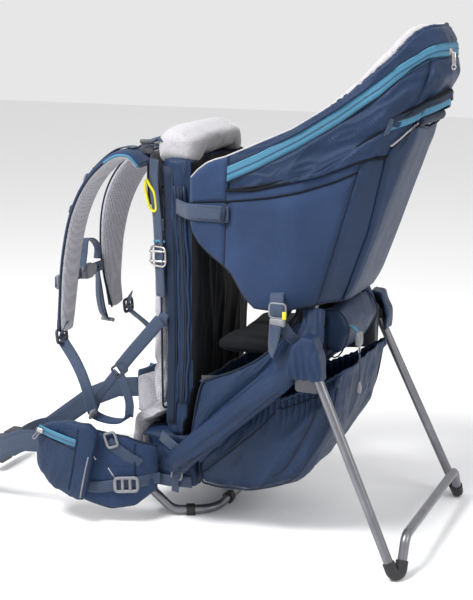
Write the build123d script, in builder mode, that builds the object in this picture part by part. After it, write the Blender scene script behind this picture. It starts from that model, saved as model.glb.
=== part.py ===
"""Child carrier backpack: a tube frame with a folding stand, a fabric cockpit for
the child, a wearer's harness and a padded hip belt.

Millimetres. +Z up, ground at z = 0, +X the wearer's left, +Y towards the stand.
"""
import os

from build123d import *

os.makedirs("parts", exist_ok=True)

# Driving dimensions
TUBE_R = 7.5                 # frame and stand tube, 15 mm outside
SLEEVE_R = 15                # fabric sleeve round the side tube
CLIP_R = 9.5                 # rubber clips that meet the ground
CLIP_FOOT = 12               # width of a clip's flat foot
GROUND_Z = CLIP_R            # centre line of every tube that rests on the ground
DEPTH = 410.5                # half of the overall depth, front buckle to hood
COLUMN_W = 216               # padded column in front of the child
COLUMN_FRONT = -24
PAD_FRONT = -44
BAG_W = 230                  # luggage bag below the seat
WALL = 5                     # padded fabric wall of the cockpit
PIVOT = (250, 320)           # y, z of the stand's pivot
STAND_X = 166                # centre of a stand leg at the pivot
PIN_R = 5
PIN_CLEAR = 0.05
FOOT_X = 190                 # centre of a stand leg at the ground
FIN_T = 14                   # hip fin thickness
BELT_W = 38                  # hip belt webbing
BUCKLE_W = 46


def save(piece, name):
    """Label a finished piece and write it as one file."""
    piece.part.label = name
    export_step(piece.part, f"parts/{name}.step")


def save_pair(piece, name):
    """Write a left piece and its mirror image."""
    save(piece, f"{name}_left")
    with BuildPart() as right:
        mirror(piece.part, about=Plane.YZ)
    save(right, f"{name}_right")


def route(points, bends):
    """Straight runs joined by tangent arcs."""
    if bends:
        return FilletPolyline(*points, radius=bends)
    return Line(*points)


def tube(points, bends, radius, bore=0):
    """Round bar or tube along a route."""
    with BuildPart() as piece:
        with BuildLine() as path:
            route(points, bends)
        with BuildSketch(Plane(origin=path.line @ 0, z_dir=path.line % 0)):
            Circle(radius)
            if bore:
                Circle(bore, mode=Mode.SUBTRACT)
        sweep(path=path.line)
    return piece


def slab(outline, x_from, x_to):
    """Flat piece: a y, z outline extruded across the carrier."""
    with BuildPart() as piece:
        with BuildSketch(Plane.YZ.offset(x_from)):
            with BuildLine():
                Polyline(*outline, close=True)
            make_face()
        extrude(amount=x_to - x_from)
    return piece


def side_band(points, bends, width, x_from, x_to):
    """Padded band that follows a y, z route, extruded across the carrier."""
    with BuildPart() as piece:
        with BuildSketch(Plane.YZ.offset(x_from)):
            with BuildLine():
                route(points, bends)
            trace(line_width=width)
        extrude(amount=x_to - x_from)
    return piece


def plan_band(points, bends, width, z_from, z_to, outline=None):
    """Upright band that follows an x, y route, cut to a y, z outline."""
    with BuildPart() as piece:
        with BuildSketch(Plane.XY.offset(z_from)):
            with BuildLine():
                route(points, bends)
            trace(line_width=width)
        extrude(amount=z_to - z_from)
        if outline:
            add(slab(outline, -300, 300).part, mode=Mode.INTERSECT)
    return piece


def mirrored(points):
    """The same points on the other side, in reverse order."""
    return [(-p[0], *p[1:]) for p in reversed(points)]


# --- Frame tubes -----------------------------------------------------------
BASE_HALF = [(102, -58, 140), (102, -58, 50), (90, -18, GROUND_Z), (58, 44, GROUND_Z)]
BASE_ROUTE = BASE_HALF + mirrored(BASE_HALF)
BASE_BENDS = [24, 30, 40, 40, 30, 24]
HOOP_HALF = [(96, -6, 92), (134, 14, 118), (142, 205, 290), (134, 236, 342),
             (96, 230, 394), (58, 288, 640)]
HOOP_ROUTE = HOOP_HALF + mirrored(HOOP_HALF)
HOOP_BENDS = [22, 60, 34, 40, 34, 34, 40, 34, 60, 22]


def back_tubes():
    """Pair of upright tubes inside the padded column."""
    with BuildPart() as piece:
        with BuildSketch(Plane.XY.offset(152)):
            with Locations((88, 8), (-88, 8)):
                Circle(TUBE_R)
        extrude(amount=430)
    return piece


def sleeve():
    """Padded fabric sleeve on the lower, straight stretch of the side tube."""
    low, high = Vector(*HOOP_HALF[1]), Vector(*HOOP_HALF[2])
    along = (high - low).normalized()
    return tube([low + along * 14, high - along * 26], None, SLEEVE_R, TUBE_R)


def seat_bands():
    """Flat strut on each side, from the base to the stand's pivot."""
    with BuildPart() as piece:
        left = side_band([(50, 254), (232, 272)], None, 12, 117.5, 120.5)
        add(left.part)
        mirror(left.part, about=Plane.YZ)
    return piece


def clip(origin, along, length):
    """Rubber clip round the base loop, with a flat foot on the ground."""
    with BuildPart() as piece:
        with BuildSketch(Plane(origin=origin, x_dir=(0, 0, 1), z_dir=along)):
            Circle(CLIP_R)
            with Locations((-CLIP_R / 2, 0)):
                Rectangle(CLIP_R, CLIP_FOOT)
            Circle(TUBE_R, mode=Mode.SUBTRACT)
        extrude(amount=length)
    return piece.part


def base_clips():
    """Rubber clips on the base loop: two near the bends, one at its back."""
    with BuildPart() as piece:
        for start, end in (((90, -18), (58, 44)), ((-90, -18), (-58, 44))):
            a, b = Vector(*start, GROUND_Z), Vector(*end, GROUND_Z)
            along = (b - a).normalized()
            add(clip(a + along * 22, along, 14))
        add(clip((-8, 44, GROUND_Z), (1, 0, 0), 16))
    return piece


save(tube(BASE_ROUTE, BASE_BENDS, TUBE_R), "base_loop")
save(tube(HOOP_ROUTE, HOOP_BENDS, TUBE_R), "frame_hoop")
save(back_tubes(), "back_tubes")
save(base_clips(), "base_clips")
save_pair(sleeve(), "frame_sleeve")
save(seat_bands(), "seat_bands")

# --- Pivot of the stand ----------------------------------------------------
HOUSING = [(232, 264), (264, 264), (276, 344), (224, 344)]
HOUSING_OUT = 153
CUFF = [(212, 292), (226, 345), (246, 363), (268, 360), (285, 322), (283, 292)]
CUFF_HOLLOW = [(216, 290), (229, 343), (247, 359), (266, 356), (281, 321), (279, 290)]


def pivot_housings():
    """Moulded blocks clamped on the side tubes, where the seat bands end."""
    with BuildPart() as piece:
        add(slab(HOUSING, 121, HOUSING_OUT).part)
        mirror(about=Plane.YZ)
        add(tube(HOOP_ROUTE, HOOP_BENDS, TUBE_R).part, mode=Mode.SUBTRACT)
    return piece


def pivot_pins():
    """Headed pin on each side that the stand turns on."""
    with BuildPart() as piece:
        for side in (1, -1):
            with BuildSketch(Plane.YZ.offset(side * HOUSING_OUT)):
                with Locations(PIVOT):
                    Circle(PIN_R)
            extrude(amount=side * 26)
            with BuildSketch(Plane.YZ.offset(side * (HOUSING_OUT + 24))):
                with Locations(PIVOT):
                    Circle(8)
            extrude(amount=side * 3)
    return piece


def cuff():
    """Fabric cuff over the pivot, open below for the leg."""
    with BuildPart() as piece:
        add(slab(CUFF, 154, 186).part)
        add(slab(CUFF_HOLLOW, 153, 183).part, mode=Mode.SUBTRACT)
    return piece


save(pivot_housings(), "pivot_housings")
save(pivot_pins(), "pivot_pins")
save_pair(cuff(), "stand_cuff")

# --- Stand -----------------------------------------------------------------
BOSS_R = 13
FOOT_BENDS = [9, 9]
STAND_HALF = [(STAND_X, *PIVOT), (FOOT_X, 394, GROUND_Z), (FOOT_X - 14, 401, GROUND_Z),
              (148, 400, 58)]
STAND_ROUTE = STAND_HALF + mirrored(STAND_HALF)
STAND_BENDS = FOOT_BENDS + [20, 20] + FOOT_BENDS


def stand_tube():
    """U-shaped stand; its base rises between the feet."""
    with BuildPart() as piece:
        add(tube(STAND_ROUTE, STAND_BENDS, TUBE_R).part)
        with BuildSketch(Plane.YZ.offset(-200)):
            with Locations(PIVOT):
                Circle(BOSS_R)
        extrude(amount=400, mode=Mode.SUBTRACT)
    return piece


def stand_bosses():
    """Moulded eye at the top of each leg, with a running fit on its pin."""
    with BuildPart() as piece:
        for side in (1, -1):
            with BuildSketch(Plane.YZ.offset(side * (STAND_X - 8))):
                with Locations(PIVOT):
                    Circle(BOSS_R)
                    Circle(PIN_R + PIN_CLEAR, mode=Mode.SUBTRACT)
            extrude(amount=side * 16)
    return piece


def stand_feet():
    """Rubber shoe round the lowest bend of each leg."""
    top, heel, toe, rise = (Vector(*p) for p in STAND_HALF)
    reach = [heel + (top - heel).normalized() * 20, heel, toe,
             toe + (rise - toe).normalized() * 18]
    left = tube(reach, FOOT_BENDS, CLIP_R, TUBE_R)
    with BuildPart() as piece:
        add(left.part)
        mirror(left.part, about=Plane.YZ)
    return piece


save(stand_tube(), "stand_tube")
save(stand_bosses(), "stand_bosses")
save(stand_feet(), "stand_feet")

# --- Padded column, back pads and base -------------------------------------
COLUMN = [(COLUMN_FRONT, 150), (COLUMN_FRONT, 600), (32, 600), (42, 500), (42, 380),
          (34, 248), (12, 150)]
BASE_BLOCK = [(-68, 62), (-68, 149.5), (14, 149.5), (34, 120), (30, 62)]
LUMBAR = [(-88, 70), (-92, 120), (-84, 176), (COLUMN_FRONT - 1, 182), (-69, 160),
          (-69, 62)]
PAD = [(COLUMN_FRONT - 0.2, 190), (PAD_FRONT, 198), (PAD_FRONT, 548),
       (COLUMN_FRONT - 0.2, 556)]
CHIN = [(-36, 606), (-40, 630), (-24, 654), (8, 656), (34, 640), (36, 606)]
RAIL_T = 4


def column():
    """Padded column between wearer and child, round the two back tubes."""
    with BuildPart() as piece:
        add(slab(COLUMN, -COLUMN_W / 2, COLUMN_W / 2).part)
        fillet(piece.edges().filter_by(Axis.Z), radius=8)
        add(back_tubes().part, mode=Mode.SUBTRACT)
    return piece


def base_block():
    """Padded lower body that takes the ends of the base loop."""
    with BuildPart() as piece:
        add(slab(BASE_BLOCK, -COLUMN_W / 2, COLUMN_W / 2).part)
        add(tube(BASE_ROUTE, BASE_BENDS, TUBE_R).part, mode=Mode.SUBTRACT)
        add(tube(HOOP_ROUTE, HOOP_BENDS, TUBE_R).part, mode=Mode.SUBTRACT)
    return piece


def chin_pad():
    """Rounded pad on top of the column."""
    with BuildPart() as piece:
        add(slab(CHIN, -104, 104).part)
        fillet(piece.edges().filter_by(Axis.X), radius=4)
    return piece


def back_rail():
    """Upright rail between the back pads that carries the harness."""
    with BuildPart() as piece:
        with BuildSketch(Plane.XY.offset(200)):
            with Locations((0, COLUMN_FRONT - RAIL_T / 2)):
                Rectangle(24, RAIL_T)
        extrude(amount=390)
    return piece


save(column(), "column")
save(base_block(), "base_block")
save(slab(LUMBAR, -100, 100), "lumbar_pad")
save_pair(slab(PAD, 34, COLUMN_W / 2), "back_pad")
save(chin_pad(), "chin_pad")
save(back_rail(), "back_rail")

# --- Cockpit, hood and seat ------------------------------------------------
# Half plan of the cockpit by height: front edge, two side corners, rear seam, rear.
SECTIONS = {
    380: [(150, 30), (148, 196), (118, 236), (74, 262), (60, 266)],
    620: [(143, 30), (136, 212), (110, 310), (72, 346), (58, 352)],
    700: [(140, 30), (130, 225), (106, 330), (68, 378), (46, 388)],
    740: [(138, 30), (126, 232), (100, 335), (60, 392), (32, 408)],
    806: [(132, 30), (118, 240), (92, 335), (55, 388), (25, 402)],
}
SIDE = [(45, 506), (45, 578), (56, 590), (84, 607), (101, 612), (143, 630), (205, 657),
        (245, 682), (301, 723), (343, 762), (367, 794), (388, 806), (440, 806), (440, 384),
        (250, 396), (190, 386), (152, 384), (134, 402), (115, 437)]
ZIP_LINE = [(20, 545), (100, 586), (155, 611), (217, 644), (273, 680), (301, 701), (327, 720),
            (350, 741), (368, 754), (385, 766), (396, 771), (440, 776)]
SEAM_X = 72


def cockpit_solid(inset):
    """Solid envelope of cockpit and hood, shrunk by an inset."""
    with BuildPart() as piece:
        for height, half in SECTIONS.items():
            with BuildSketch(Plane.XY.offset(height)):
                with BuildLine():
                    Polyline(*half, *mirrored(half), close=True)
                make_face()
                if inset:
                    offset(amount=-inset, kind=Kind.INTERSECTION)
        loft(ruled=True)
    return piece


def cockpit_shell():
    """Padded wall of cockpit and hood, cut to its side outline."""
    with BuildPart() as piece:
        add(cockpit_solid(0).part)
        add(cockpit_solid(WALL).part, mode=Mode.SUBTRACT)
        add(slab(SIDE, -200, 200).part, mode=Mode.INTERSECT)
    return piece


SHELL = cockpit_shell()
BELOW_ZIP = ZIP_LINE + [(440, 300), (20, 300)]
ABOVE_ZIP = ZIP_LINE + [(440, 850), (20, 850)]


def shell_piece(outline, x_from, x_to):
    """Part of the cockpit wall inside a side outline and two x limits."""
    with BuildPart() as piece:
        add(SHELL.part)
        add(slab(outline, x_from, x_to).part, mode=Mode.INTERSECT)
    return piece


def hood_zip():
    """Double zip tape that runs round the hood's lower edge."""
    low = [(y, z - 11) for y, z in ZIP_LINE]
    high = [(y, z + 11) for y, z in reversed(ZIP_LINE)]
    with BuildPart() as piece:
        add(cockpit_solid(-2).part)
        add(cockpit_solid(0).part, mode=Mode.SUBTRACT)
        add(slab(low + high, -200, 200).part, mode=Mode.INTERSECT)
        add(slab([(104, 400), (424, 400), (424, 850), (104, 850)], -200, 200).part,
            mode=Mode.INTERSECT)
    return piece


save_pair(shell_piece(BELOW_ZIP, SEAM_X, 200), "cockpit_side")
save(shell_piece(BELOW_ZIP, -SEAM_X, SEAM_X), "cockpit_rear")
save(shell_piece(ABOVE_ZIP, -200, 200), "hood")
save(hood_zip(), "hood_zip")

SEAT = [(64, 296), (64, 318), (190, 324), (190, 300)]
SEAT_BACK = [(196, 330), (201, 424), (252, 600), (270, 600), (219, 424), (212, 330)]
HEADREST = [(320, 650), (364, 742), (368, 786), (384, 786), (388, 742), (346, 650)]
TAIL_FLAP = [(234, 378), (262, 378), (280, 345), (262, 300), (238, 312)]
WING_STRAP = [(109, 6), (154, 52), (154, 112)]


def wing_straps():
    """Closing strap on each side, from the column to the front of the cockpit."""
    with BuildPart() as piece:
        left = plan_band(WING_STRAP, [20], 2, 516, 541)
        add(left.part)
        mirror(left.part, about=Plane.YZ)
    return piece


save(slab(SEAT, -100, 100), "seat_pad")
save(slab(SEAT_BACK, -92, 92), "seat_back")
save(slab(HEADREST, -42, 42), "headrest")
save(slab(TAIL_FLAP, -72, 72), "tail_flap")
save(wing_straps(), "wing_straps")

# --- Luggage bag -----------------------------------------------------------
BAG = [(46, 250), (38, 72), (140, 72), (208, 100), (248, 159), (272, 212),
       (284, 290), (262, 288), (240, 262)]
BAG_HOLLOW = [(51, 300), (43, 77), (138, 77), (204, 104), (243, 161), (267, 213),
              (280, 300)]


def lower_bag():
    """Open-topped luggage bag under the seat."""
    with BuildPart() as piece:
        add(slab(BAG, -BAG_W / 2, BAG_W / 2).part)
        add(slab(BAG_HOLLOW, 5 - BAG_W / 2, BAG_W / 2 - 5).part, mode=Mode.SUBTRACT)
    return piece


save(lower_bag(), "lower_bag")

# --- Cord and buckle that close the bag ------------------------------------
CORD_R = 1.4
CORD_ROUTE = [(60, 291.5, 318), (61, 293, 302), (57, 294, 284), (59, 292.5, 262)]


def cord_bends(points, share=0.45):
    """Largest arcs that each pair of runs leaves room for."""
    bends = []
    for a, b, c in zip(points, points[1:], points[2:]):
        first, second = Vector(*b) - Vector(*a), Vector(*c) - Vector(*b)
        half_turn = first.get_angle(second) / 2
        shorter = min(first.length, second.length)
        bends.append(share * shorter / tan_degrees(half_turn))
    return bends


def tan_degrees(angle):
    """Tangent of an angle in degrees, from a vector turned by it."""
    turned = Vector(1, 0, 0).rotate(Axis.Z, angle)
    return turned.Y / turned.X


def bag_buckle():
    """Small side-release buckle that holds the cord's upper end."""
    with BuildPart() as piece:
        with BuildSketch(Plane.XY.offset(318)):
            with Locations((60, 291.5)):
                Rectangle(16, 9)
        extrude(amount=26)
        fillet(piece.edges().filter_by(Axis.Z), radius=3)
    return piece


def cord_end():
    """Moulded grip on the cord's lower end."""
    with BuildPart() as piece:
        with BuildSketch(Plane.XY.offset(244)):
            with Locations((59, 292.5)):
                Ellipse(7, 4)
        extrude(amount=18)
    return piece


CORD_BENDS = cord_bends(CORD_ROUTE)
print("cord bend radii", [round(r, 1) for r in CORD_BENDS])
save(tube(CORD_ROUTE, CORD_BENDS, CORD_R), "bag_cord")
save(bag_buckle(), "bag_buckle")
save(cord_end(), "cord_end")

# --- Harness ---------------------------------------------------------------
STRAP_T = 16
STRAP_ROUTE = [(-58, 604), (-96, 600), (-150, 560), (-188, 505), (-205, 440), (-208, 365),
               (-199, 308)]
STRAP_BENDS = [40, 60, 60, 90, 120]
STRAP_IN, STRAP_OUT = 76, 138
YOKE = [(-58, 613), (-58, 520), (PAD_FRONT - 2, 520), (PAD_FRONT - 2, 613)]


def harness_yoke():
    """Plate that joins the shoulder straps, with a slider on the back rail."""
    with BuildPart() as piece:
        add(slab(YOKE, -100, 100).part)
        with BuildSketch(Plane.XY.offset(530)):
            with Locations((0, (PAD_FRONT - 2 + COLUMN_FRONT - RAIL_T - 0.3) / 2)):
                Rectangle(44, COLUMN_FRONT - RAIL_T - 0.3 - PAD_FRONT + 2)
        extrude(amount=36)
    return piece


def shoulder_strap():
    """Padded, curved shoulder strap."""
    return side_band(STRAP_ROUTE, STRAP_BENDS, STRAP_T, STRAP_IN, STRAP_OUT)


def strap_adjusters():
    """Tension buckle at the lower end of each strap."""
    with BuildPart() as piece:
        for side in (1, -1):
            with BuildSketch(Plane.XY.offset(284)):
                with Locations((side * 124, -203)):
                    RectangleRounded(30, 12, 3)
            extrude(amount=23)
    return piece


LOWER_WEB = [(124, -203, 284), (134, -172, 258), (143, -150, 224), (140, -138, 178)]


def strap_tails():
    """Tension webbing below each adjuster, drawn as a slim rod."""
    with BuildPart() as piece:
        left = tube(LOWER_WEB, [40, 60], 2)
        add(left.part)
        mirror(left.part, about=Plane.YZ)
    return piece


def load_lifters():
    """Buckle on top of each strap that draws it towards the frame."""
    with BuildPart() as piece:
        for side in (1, -1):
            with BuildSketch(Plane.XY.offset(616)):
                with Locations((side * 94, -72)):
                    RectangleRounded(26, 20, 3)
            extrude(amount=8)
    return piece


save(harness_yoke(), "harness_yoke")
save_pair(shoulder_strap(), "shoulder_strap")
save(strap_adjusters(), "strap_adjusters")
save(strap_tails(), "strap_tails")
save(load_lifters(), "load_lifters")

# --- Sternum strap ---------------------------------------------------------
STERNUM_Y = -221
STERNUM_Z = 386


def sternum_strap():
    """Chest webbing between the shoulder straps."""
    with BuildPart() as piece:
        for side in (1, -1):
            with BuildSketch(Plane.XY.offset(STERNUM_Z - 10)):
                with Locations((side * 70, STERNUM_Y)):
                    Rectangle(94, 2.5)
            extrude(amount=20)
    return piece


def sternum_buckle():
    """Closed chest buckle."""
    with BuildPart() as piece:
        with BuildSketch(Plane.XZ.offset(-STERNUM_Y - 5)):
            with Locations((0, STERNUM_Z)):
                RectangleRounded(45, 26, 5)
        extrude(amount=10)
    return piece


save(sternum_strap(), "sternum_strap")
save(sternum_buckle(), "sternum_buckle")

# --- Hip belt --------------------------------------------------------------
FIN_PLAN = [(122, -34), (150, -62), (172, -130), (168, -214)]
FIN_SIDE = [(-30, 60), (-60, 40), (-92, 36), (-140, 46), (-213, 84), (-213, 150),
            (-170, 168), (-120, 160), (-70, 150), (-30, 128)]
POCKET_PLAN = [(181.5, -90), (186, -130), (183, -212)]
POCKET_SIDE = [(-90, 42), (-140, 46), (-186, 58), (-213, 86), (-213, 160), (-190, 171),
               (-160, 178), (-118, 176), (-90, 162)]
BUCKLE_T = 20
BUCKLE_Y = BUCKLE_T / 2 - DEPTH
BELT_TOP = 60                # upper edge of the webbing at the buckle
BUCKLE_Z = BELT_TOP - BELT_W / 2
BELT_PLAN = [(168, -214.5), (162, -300), (110, BUCKLE_Y), (41, BUCKLE_Y)]
BELT_EDGE = [(-200, 150), (-214, 145), (-300, 112), (-380, BELT_TOP), (-430, BELT_TOP)]
BELT_SIDE = BELT_EDGE + [(y, z - BELT_W) for y, z in reversed(BELT_EDGE)]


def buckle_female():
    """Socket half of the hip buckle, open towards the other half."""
    with BuildPart() as piece:
        with BuildSketch(Plane.XZ.offset(DEPTH)):
            with Locations((20, BUCKLE_Z)):
                RectangleRounded(40, BUCKLE_W, 6)
        extrude(amount=-BUCKLE_T)
        with BuildSketch(Plane.XZ.offset(DEPTH - 4)):
            with Locations((10, BUCKLE_Z)):
                Rectangle(30, BUCKLE_W - 12)
        extrude(amount=8 - BUCKLE_T, mode=Mode.SUBTRACT)
    return piece


def buckle_male():
    """Pronged half of the hip buckle, with a slot that runs on the webbing."""
    with BuildPart() as piece:
        with BuildSketch(Plane.XZ.offset(DEPTH)):
            with Locations((-22, BUCKLE_Z)):
                RectangleRounded(43, BUCKLE_W, 6)
        extrude(amount=-BUCKLE_T)
        with BuildSketch(Plane.XZ.offset(DEPTH - 6)):
            with Locations((9, BUCKLE_Z - 12), (9, BUCKLE_Z), (9, BUCKLE_Z + 12)):
                Rectangle(22, 6)
        extrude(amount=12 - BUCKLE_T)
        with BuildSketch(Plane.XZ.offset(DEPTH - BUCKLE_T / 2 + 2)):
            with Locations((-27, BUCKLE_Z)):
                Rectangle(38, BELT_W + 2)
        extrude(amount=-4, mode=Mode.SUBTRACT)
    return piece


def hip_fin():
    """Padded wing of the hip belt."""
    return plan_band(FIN_PLAN, [60, 120], FIN_T, 30, 180, FIN_SIDE)


def hip_pocket():
    """Zipped pocket on the outside of the wing."""
    return plan_band(POCKET_PLAN, [200], 14, 30, 190, POCKET_SIDE)


def belt_left():
    """Webbing from the left wing to the socket half."""
    return plan_band(BELT_PLAN, [70, 60], 2, 20, 170, BELT_SIDE)


def belt_right():
    """Webbing from the right wing, through the pronged half."""
    return plan_band([(-x, y) for x, y in BELT_PLAN], [70, 60], 2, 20, 170, BELT_SIDE)


def belt_ladders():
    """Ladder buckle on the lower edge of each wing."""
    with BuildPart() as piece:
        left = slab([(-88, 53), (-88, 77), (-52, 77), (-52, 53)], 0, 6)
        turned = left.part.rotate(Axis((0, -70, 0), (0, 0, 1)), 18)
        add(turned.moved(Location((160.5, 0, 0))))
        mirror(about=Plane.YZ)
    return piece


def pocket_slider(side):
    """Slider and pull of a hip pocket's zip."""
    with BuildPart() as piece:
        with BuildSketch(Plane.YZ.offset(side * 196)):
            with Locations((-203, 158)):
                RectangleRounded(14, 9, 3)
        extrude(amount=side * 4)
    return piece


save_pair(hip_fin(), "hip_fin")
save_pair(hip_pocket(), "hip_pocket")
save(belt_left(), "belt_web_left")
save(belt_right(), "belt_web_right")
save(buckle_female(), "hip_buckle_socket")
save(buckle_male(), "hip_buckle_prongs")
save(belt_ladders(), "belt_ladders")
save(pocket_slider(1), "pocket_slider_left")
save(pocket_slider(-1), "pocket_slider_right")

# --- Stirrups --------------------------------------------------------------
STIRRUP_TOP = (-22, 336)
STIRRUP_X = 118
STIRRUP_OUT = [(-16, 346), (-30, 340), (-86, 268), (-158, 172), (-150, 160), (-82, 160),
               (-72, 168), (-76, 262), (-12, 334)]
STIRRUP_IN = [(-92, 240), (-140, 176), (-88, 176)]


def stirrup():
    """Foot loop for the child, hung from the side of the column."""
    with BuildPart() as piece:
        add(slab(STIRRUP_OUT, STIRRUP_X, STIRRUP_X + 6).part)
        add(slab(STIRRUP_IN, STIRRUP_X - 1, STIRRUP_X + 7).part, mode=Mode.SUBTRACT)
    return piece


def stirrup_anchors():
    """Tab on each side of the column that a stirrup hangs from."""
    with BuildPart() as piece:
        for side in (1, -1):
            with BuildSketch(Plane.YZ.offset(side * COLUMN_W / 2)):
                with Locations(STIRRUP_TOP):
                    Circle(7)
            extrude(amount=side * (STIRRUP_X - 0.5 - COLUMN_W / 2))
    return piece


save_pair(stirrup(), "stirrup")
save(stirrup_anchors(), "stirrup_anchors")

# --- Side entry strap and hood zip slider ----------------------------------
ENTRY_X = 158
SLIDER = (22, 408.35, 770)    # on the hood's zip, at the middle of its back


def entry_socket():
    """Socket of the side entry buckle, on a short strap below the cockpit wall."""
    with BuildPart() as piece:
        with BuildSketch(Plane.YZ.offset(ENTRY_X)):
            with Locations((196, 388)):
                RectangleRounded(28, 24, 4)
        extrude(amount=11)
        with BuildSketch(Plane.YZ.offset(ENTRY_X + 3)):
            with Locations((196, 382)):
                Rectangle(20, 14)
        extrude(amount=5, mode=Mode.SUBTRACT)
    return piece


def entry_tongue():
    """Tongue and lower strap of the side entry buckle."""
    with BuildPart() as piece:
        with BuildSketch(Plane.YZ.offset(ENTRY_X + 4)):
            with Locations((196, 381)):
                Rectangle(17, 12)
        extrude(amount=3)
        with BuildSketch(Plane.YZ.offset(ENTRY_X + 1)):
            with Locations((196, 367)):
                RectangleRounded(26, 16, 4)
        extrude(amount=9)
    return piece


def hood_slider():
    """Slider and pull of the hood's zip."""
    with BuildPart() as piece:
        with BuildSketch(Plane(origin=SLIDER, x_dir=(-1, 0, 0), z_dir=(0, 1, 0))):
            RectangleRounded(12, 9, 2)
        extrude(amount=2.1)
    return piece


save(entry_socket(), "entry_socket")
save(entry_tongue(), "entry_tongue")
save(hood_slider(), "hood_slider")
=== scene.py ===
"""Looks of the child carrier backpack: fabrics, webbing, zips, buckles and tubes."""
import math

import bpy
import bmesh
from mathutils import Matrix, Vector, noise
from mathutils.bvhtree import BVHTree


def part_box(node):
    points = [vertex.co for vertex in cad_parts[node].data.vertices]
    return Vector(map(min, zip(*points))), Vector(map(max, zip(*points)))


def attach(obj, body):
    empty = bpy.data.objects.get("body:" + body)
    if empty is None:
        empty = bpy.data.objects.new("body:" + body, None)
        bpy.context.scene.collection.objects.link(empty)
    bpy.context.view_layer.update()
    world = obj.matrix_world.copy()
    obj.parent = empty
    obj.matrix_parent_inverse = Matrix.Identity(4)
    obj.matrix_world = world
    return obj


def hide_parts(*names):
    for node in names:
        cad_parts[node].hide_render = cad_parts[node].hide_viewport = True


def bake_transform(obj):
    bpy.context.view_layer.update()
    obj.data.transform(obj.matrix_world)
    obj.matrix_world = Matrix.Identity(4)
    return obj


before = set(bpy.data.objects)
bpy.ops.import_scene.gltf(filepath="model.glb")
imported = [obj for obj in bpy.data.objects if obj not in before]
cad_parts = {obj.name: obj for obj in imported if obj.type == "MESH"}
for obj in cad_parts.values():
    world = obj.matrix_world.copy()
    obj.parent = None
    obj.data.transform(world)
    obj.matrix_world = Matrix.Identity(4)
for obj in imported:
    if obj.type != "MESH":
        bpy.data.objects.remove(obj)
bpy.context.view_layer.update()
MM = 0.001
ACROSS, DEPTH, UP = Vector((1, 0, 0)), Vector((0, 1, 0)), Vector((0, 0, 1))
SIDES = (1, "left"), (-1, "right")


# --- Camera, lights and floor ----------------------------------------------
def make_camera():
    """A camera behind and to the left of the carrier, slightly above it."""
    yaw, pitch = math.radians(23.26), math.radians(13.34)
    data = bpy.data.cameras.new("camera")
    data.sensor_fit = "VERTICAL"
    data.sensor_height = 36
    data.lens = 78.6
    data.clip_end = 50
    cam = bpy.data.objects.new("camera", data)
    cam.location = (1.9385, 0.8917, 0.8584)
    ahead = Vector((-math.cos(yaw) * math.cos(pitch), -math.sin(yaw) * math.cos(pitch),
                    -math.sin(pitch)))
    cam.rotation_euler = ahead.to_track_quat("-Z", "Y").to_euler()
    bpy.context.collection.objects.link(cam)
    bpy.context.scene.camera = cam


def area_light(name, place, target, size, power):
    """A square soft light."""
    data = bpy.data.lights.new(name, "AREA")
    data.size = size
    data.energy = power
    lamp = bpy.data.objects.new(name, data)
    lamp.location = place
    lamp.rotation_euler = (Vector(target) - Vector(place)).to_track_quat("-Z", "Y").to_euler()
    bpy.context.collection.objects.link(lamp)


def make_studio():
    """White surroundings, a pale floor and three soft lights."""
    bpy.context.scene.view_settings.view_transform = "Standard"
    world = bpy.data.worlds.new("studio")
    world.use_nodes = True
    world.node_tree.nodes["Background"].inputs[0].default_value = (1, 1, 1, 1)
    world.node_tree.nodes["Background"].inputs[1].default_value = 0.8
    bpy.context.scene.world = world
    bpy.ops.mesh.primitive_plane_add(size=14)
    floor = bpy.context.object
    floor.name = "floor"
    floor.data.materials.append(plain("floor_paint", (0.86, 0.86, 0.87), 0.8))
    middle = (0, 0.1, 0.4)
    area_light("key", (1.3, -0.5, 2.3), middle, 0.7, 70)
    area_light("front", (1.6, -1.8, 1.2), middle, 1.2, 14)
    area_light("rear", (0.4, 2.4, 1.6), middle, 1.2, 22)


# --- Materials -------------------------------------------------------------
def plain(name, color, rough):
    """A material with one colour, for the floor only."""
    mat = bpy.data.materials.new(name)
    mat.use_nodes = True
    shader = mat.node_tree.nodes["Principled BSDF"]
    shader.inputs["Base Color"].default_value = (*color, 1)
    shader.inputs["Roughness"].default_value = rough
    return mat


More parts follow.
